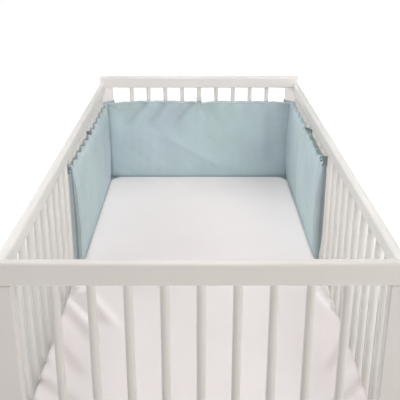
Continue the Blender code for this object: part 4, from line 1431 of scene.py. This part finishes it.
def build_bumper(cloth, lumpiness):
    """One padded band in three panels, with sewn corner channels."""
    grid, painted_shade_grid = bumper_grid(bumper_stations(), lumpiness)
    count, around = grid.shape[:2]
    points, painted_shades = grid.reshape(-1, 3).tolist(), painted_shade_grid.ravel().tolist()
    faces = tube_faces(count, around)[:-2]
    for sign, first in ((-1, 0), (1, (count - 1) * around)):
        # each free end's face gets its own painted shade
        end_cap(points, painted_shades, faces, range(first, first + around), CAP_TONES[sign])
    used = sorted({k for face in faces for k in face})
    number = {k: n for n, k in enumerate(used)}
    faces = [tuple(number[k] for k in face) for face in faces]
    mesh = with_painted_shade_mask(mesh_of([points[k] for k in used], faces), [painted_shades[k] for k in used])
    piece = new_piece("bumper", mesh, cloth)


# ---- ties


def ribbon_mesh(points, wides, width, closed=False):
    """A flat ribbon with soft edges along a line; wides are the directions of its width."""
    line = np.array(points, float)
    wide = np.broadcast_to(np.array(wides, float), line.shape)
    before, after = np.roll(line, 1, axis=0), np.roll(line, -1, axis=0)
    if not closed:
        before[0], after[-1] = line[0], line[-1]
    thin = np.cross(after - before, wide)
    thin /= np.linalg.norm(thin, axis=1)[:, None]
    half, thick = width / 2, RIBBON_THICKNESS / 2
    outline = RIBBON_OUTLINE + tuple((-a, -b) for a, b in RIBBON_OUTLINE)
    points = [
        p + w * half * a + t * thick * b for p, w, t in zip(line, wide, thin) for a, b in outline
    ]
    return mesh_of(points, tube_faces(len(line), len(outline), closed))


def knot_mesh():
    """A flat knot: three bands of ribbon wound over each other."""
    bm = bmesh.new()
    around, up = KNOT_STEPS
    bmesh.ops.create_uvsphere(bm, u_segments=around, v_segments=up, radius=1.0)
    for vert in bm.verts:
        x, y, z = vert.co
        fold = 1 - KNOT_FOLD * math.cos(3 * math.pi * z) * (1 - z * z)
        pull = 1 - KNOT_PULL * math.cos(2 * math.pi * y)
        vert.co = (x * fold * pull, y * fold, z * pull)
    bmesh.ops.scale(bm, vec=KNOT_HALF, verts=bm.verts)
    return mesh_from(bm)


def tail_mesh(sign, spread):
    """A free end that hangs from the knot and curls a little."""
    steps = np.linspace(0, 1, TAIL_STEPS)
    outward = column(TAIL_LINE, "drop", "outward", steps)
    sideways = column(TAIL_LINE, "drop", "spread", steps) * spread
    points = np.column_stack([outward, sign * (TAIL_START + sideways), -steps * TAIL_DROP])
    twist = TAIL_TWIST * sign * np.sin(steps * math.pi * TAIL_TWIST_REACH)
    wides = np.column_stack([np.sin(twist), np.cos(twist), np.zeros(len(steps))])
    return ribbon_mesh(points, wides, TAIL_WIDTH)


def knot_and_tails(place, angle, spread):
    meshes = [knot_mesh(), tail_mesh(-1, spread), tail_mesh(1, spread)]
    for mesh in meshes:
        mesh.transform(Matrix.Translation(place) @ Matrix.Rotation(angle, 4, "Z"))
    return meshes


def loose_end_mesh(start_y, strand):
    """One strand of the long free end of the right middle tie, lying along the top edge."""
    steps = np.linspace(LOOSE_END[0].way, LOOSE_END[-1].way, LOOSE_STEPS)
    x = LOOSE_X + strand + column(LOOSE_END, "way", "sideways", steps)
    y = start_y - steps
    z = top_level("right", y) + LOOSE_LIFT + column(LOOSE_END, "way", "lift", steps)
    return ribbon_mesh(np.column_stack([x, y, z]), STRAND_WIDE, STRAND_WIDTH)


def bow_meshes(place, knot_size, loop_size, ends, width):
    """A small bow: a knot, two loops and two short ends, facing the foot of the cot."""
    knot = knot_mesh()
    knot.transform(Matrix.Diagonal((*knot_size, 1.0)))
    knot.transform(Matrix.Translation(place))
    meshes = [knot]
    reach, tall = loop_size
    turns = np.arange(BOW_LOOP_STEPS) * math.tau / BOW_LOOP_STEPS
    steps = np.linspace(0, 1, BOW_END_STEPS)
    for sign in (-1, 1):
        x = sign * (reach / 2 + BOW_GAP) * (1 - np.cos(turns)) + sign * BOW_GAP
        y = BOW_LOOP_Y + BOW_LOOP_CURL * np.sin(2 * turns)
        z = tall / 2 * np.sin(turns) * (1 - np.cos(turns)) / BOW_LOOP_PINCH
        loop = np.column_stack([x, y, z + BOW_LOOP_CLIMB * np.abs(x)]) + place
        meshes.append(ribbon_mesh(loop, BOW_WIDE, width, closed=True))
        x = sign * (BOW_GAP + BOW_END_SPREAD * steps)
        y = BOW_END_Y - BOW_END_CURL * np.sin(3 * steps)
        end = np.column_stack([x, y, -ends * steps]) + place
        meshes.append(ribbon_mesh(end, BOW_END_WIDE, width))
    return meshes


def slat_turns(x, y, z, width):
    """A tie's turns of ribbon round a slat."""
    radius = SLAT_RADIUS + TOUCH_GAP + RIBBON_THICKNESS / 2
    turns = np.arange(RING_STEPS) * math.tau / RING_STEPS
    count = max(1, round(width / RIBBON_WIDTH))
    for i in range(count):
        level = z + (i - (count - 1) / 2) * (width / count)
        rise = RING_WAVE * np.sin(turns + RING_WAVE_SHIFT * i)
        places = (x + radius * np.cos(turns), y + radius * np.sin(turns), level + rise)
        ring = np.column_stack(places)
        yield ribbon_mesh(ring, (0.0, 0.0, 1.0), width / count * RING_COVER, closed=True)


def build_ties(cloth, head_tie_lit_cloth, post_band_lit_cloth):
    """Seven ribbon ties: turns round the wood, a knot and two free ends each."""
    for name, side, slat, width, rise in SLAT_TIES:
        along = slat * (SIDE_PITCH if side else END_PITCH)
        x, y = (side * SIDE_X, along) if side else (along, END_Y)
        panel = PANELS[side]
        z = top_level(panel, along) + rise
        outward = (1 - side) * math.pi / 2
        reach = SLAT_RADIUS + TOUCH_GAP + KNOT_HALF[0]
        place = (x + reach * math.cos(outward), y + reach * math.sin(outward), z)
        meshes = [*slat_turns(x, y, z, width), *knot_and_tails(place, outward, TAIL_SPREAD)]
        if name == "tie_right_middle":
            meshes += [loose_end_mesh(along, strand) for strand in LOOSE_STRANDS]
        (bow_x, bow_y, bow_rise), *bow_sizes = BOWS[name]
        top = top_level(panel, max(bow_y, TOPS[panel][0][0]) if side else bow_x)
        meshes += bow_meshes((bow_x, bow_y, top + bow_rise), *bow_sizes)
        # slat ties take the ribbon darkened as painted shade, the head's middle tie the ribbon
        # lightened as painted light
        new_piece(name, joined(meshes), cloth if side else head_tie_lit_cloth)
    for name, side in POST_TIES:
        x = side * (POST_INNER_X + POST_SIZE[0] / 2)
        z = top_level("head", side * POST_INNER_X) + POST_RING_RISE
        ring = list(post_ring(x, z, side * POST_RING_TILT))
        knot_x = side * (POST_INNER_X - TOUCH_GAP - KNOT_HALF[0])
        turn = math.pi if side > 0 else 0.0
        meshes = [ribbon_mesh(ring, (0.0, 0.0, 1.0), RIBBON_WIDTH, closed=True)]
        meshes += knot_and_tails((knot_x, END_Y, z + POST_RING_TILT), turn, POST_TAIL_SPREAD)
        # the post bands take the ribbon lightened as painted light
        new_piece(name, joined(meshes), post_band_lit_cloth)


def post_ring(x, z, tilt):
    """A ribbon's line round a post, with round corners."""
    off = TOUCH_GAP + RIBBON_THICKNESS / 2
    half_x, half_y = (size / 2 + off for size in POST_SIZE)
    for out_x, out_y, sign in round_rectangle(half_x, half_y, [LOW_ROUND] * 4, POST_RING_STEPS):
        yield x + out_x, END_Y + out_y, z - sign * tilt


# ---- stage


def build_camera():
    camera = bpy.data.cameras.new("camera")
    camera.sensor_width = CAMERA_SENSOR
    camera.lens = CAMERA_LENS
    camera.shift_y = CAMERA_SHIFT
    camera.clip_start, camera.clip_end = CAMERA_CLIP
    obj = shown("camera", camera)
    yaw, pitch, roll = map(math.radians, (CAMERA_YAW, CAMERA_PITCH, CAMERA_ROLL))
    turn = (
        Matrix.Rotation(-yaw, 4, "Z")
        @ Matrix.Rotation(math.pi / 2 - pitch, 4, "X")
        @ Matrix.Rotation(roll, 4, "Z")
    )
    obj.matrix_world = Matrix.Translation(CAMERA_PLACE) @ turn
    bpy.context.scene.camera = obj


def build_lamps():
    for lamp in LAMPS:
        light = bpy.data.lights.new(lamp.name, "AREA")
        light.shape = "DISK"
        light.size = lamp.size
        light.energy = lamp.power
        light.color = lamp.colour
        obj = shown(lamp.name, light)
        aim = Vector(lamp.aim) - Vector(lamp.place)
        obj.location = lamp.place
        obj.rotation_euler = aim.to_track_quat("-Z", "Y").to_euler()


def build_floor(colour, glow):
    """A plain floor that glows like a sweep lit from behind, with a painted shadow by the cot,
    where its glow is dim and its colour darker.
    """
    mesh = bpy.data.meshes.new("floor")
    signs = ((-1, -1), (1, -1), (1, 1), (-1, 1))
    mesh.from_pydata([(FLOOR_REACH * x, FLOOR_REACH * y, 0) for x, y in signs], [], [range(4)])
    floor = shown("floor", mesh)
    made, w, shader = start_material("plain_pale_floor", Roughness=0.9, Emission_Strength=glow)
    place = w.place()
    shade = w.spread(w.noise(place, *FLOOR_CLOUDS), *CLOUD_RANGE, *FLOOR_SHADES)
    at = w.split(place)
    beyond = []
    for axis, half in (("X", END_RAIL_SIZE[0] / 2), ("Y", END_Y)):
        beyond.append(w.math("MAXIMUM", w.less(w.size(at[axis]), half), 0.0))
    far = w.math("SQRT", w.add(*(w.times(away, away) for away in beyond)))
    # painted shadow: less glow and a darker colour close to the cot
    lit = w.spread(far, *SHADE_REACH, NEAR_GLOW, 1.0)
    shade = w.times(shade, w.spread(far, *SHADE_REACH, NEAR_SHADE, 1.0))
    w.feed(shader["Base Color"], w.shaded(shade, colour))
    w.feed(shader["Emission Color"], w.shaded(lit, WHITE))
    mesh.materials.append(made)
    floor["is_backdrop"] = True


def build_room_light(shade, light):
    """Plain walls that look pale and give back only the light that is asked for."""
    scene = bpy.context.scene
    world = bpy.data.worlds.new("room")
    scene.world = world
    world.use_nodes = True
    back = world.node_tree.nodes["Background"]
    w = Wires(world.node_tree)
    seen = w.node("ShaderNodeLightPath")["Is Camera Ray"]
    back.inputs["Color"].default_value = (*WHITE, 1.0)
    w.feed(back.inputs["Strength"], w.spread(seen, 0.0, 1.0, light, shade))
    scene.view_settings.view_transform = "Standard"
    scene.view_settings.look = "None"


# ---- operators


class COT_OT_cot_bed(bpy.types.Operator):
    """Builds the painted ends and sides of the cot bed and its mattress base"""

    bl_idname = "cot.cot_bed"
    bl_label = "Build the cot bed"

    def execute(self, context):
        looks = context.scene.cot_looks
        build_cot_ends(tuple(looks.paint_colour))
        build_cot_sides(paint_material("sides", tuple(looks.paint_colour)))
        build_mattress_base(wood_material(tuple(looks.base_colour)))
        return {"FINISHED"}


class COT_OT_mattress(bpy.types.Operator):
    """Builds the mattress in its fitted sheet"""

    bl_idname = "cot.mattress"
    bl_label = "Build the mattress"

    def execute(self, context):
        looks = context.scene.mattress_looks
        build_mattress(sheet_material(tuple(looks.sheet_colour), looks.rib_pitch))
        return {"FINISHED"}


class COT_OT_bumper(bpy.types.Operator):
    """Builds the padded bumper"""

    bl_idname = "cot.bumper"
    bl_label = "Build the bumper"

    def execute(self, context):
        looks = context.scene.bumper_looks
        colour = tuple(looks.cloth_colour)
        cloth = cotton_material("dusty_blue_green_cotton", colour, looks.thread_pitch)
        build_bumper(cloth, looks.lumpiness)
        return {"FINISHED"}


class COT_OT_ties(bpy.types.Operator):
    """Builds the seven ribbon ties"""

    bl_idname = "cot.ties"
    bl_label = "Build the ties"

    def execute(self, context):
        looks = context.scene.bumper_looks
        pitch = looks.thread_pitch * RIBBON_PITCH
        # one ribbon in three tones: darkened as painted shade, and lightened twice as painted light
        ribbon = cotton_material("tie_cotton_painted_shade", tuple(looks.slat_tie_shaded_colour), pitch)
        pale = cotton_material("head_tie_cotton_painted_light", tuple(looks.head_tie_lit_colour), pitch)
        band = cotton_material("post_tie_cotton_painted_light", tuple(looks.post_band_lit_colour), pitch)
        build_ties(ribbon, pale, band)
        return {"FINISHED"}


class COT_OT_stage(bpy.types.Operator):
    """Sets up the floor, the lights and the camera"""

    bl_idname = "cot.stage"
    bl_label = "Set up the stage"

    def execute(self, context):
        looks = context.scene.stage_looks
        build_camera()
        build_lamps()
        build_floor(tuple(looks.floor_colour), looks.floor_glow)
        build_room_light(looks.wall_shade, looks.wall_light)
        return {"FINISHED"}


class COT_PT_panel(bpy.types.Panel):
    """Lists the looks and the builders of the pieces"""

    bl_idname = "COT_PT_panel"
    bl_label = "Crib bumper on a cot bed"
    bl_space_type = "VIEW_3D"
    bl_region_type = "UI"
    bl_category = "Cot"

    def draw(self, context):
        for looks, builders in PANEL_ROWS:
            box = self.layout.box()
            group = getattr(context.scene, looks)
            for name in group.__annotations__:
                box.prop(group, name)
            for builder in builders:
                box.operator(builder)


PANEL_ROWS = (
    ("cot_looks", ("cot.cot_bed",)),
    ("mattress_looks", ("cot.mattress",)),
    ("bumper_looks", ("cot.bumper", "cot.ties")),
    ("stage_looks", ("cot.stage",)),
)
LOOKS = {
    "cot_looks": CotLooks,
    "mattress_looks": MattressLooks,
    "bumper_looks": BumperLooks,
    "stage_looks": StageLooks,
}
CLASSES = (
    BumperLooks,
    MattressLooks,
    CotLooks,
    StageLooks,
    COT_OT_cot_bed,
    COT_OT_mattress,
    COT_OT_bumper,
    COT_OT_ties,
    COT_OT_stage,
    COT_PT_panel,
)


def register():
    for cls in CLASSES:
        bpy.utils.register_class(cls)
    for name, cls in LOOKS.items():
        setattr(bpy.types.Scene, name, PointerProperty(type=cls))


def unregister():
    for name in LOOKS:
        delattr(bpy.types.Scene, name)
    for cls in reversed(CLASSES):
        bpy.utils.unregister_class(cls)


def main():
    register()
    bpy.ops.cot.stage()
    bpy.ops.cot.cot_bed()
    bpy.ops.cot.mattress()
    bpy.ops.cot.bumper()
    bpy.ops.cot.ties()
    sizes = {"cad": CAD_BOX, "visual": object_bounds()}
    {key: [list(map(float, corner)) for corner in box] for key, box in sizes.items()}


if __name__ == "__main__":
    main()
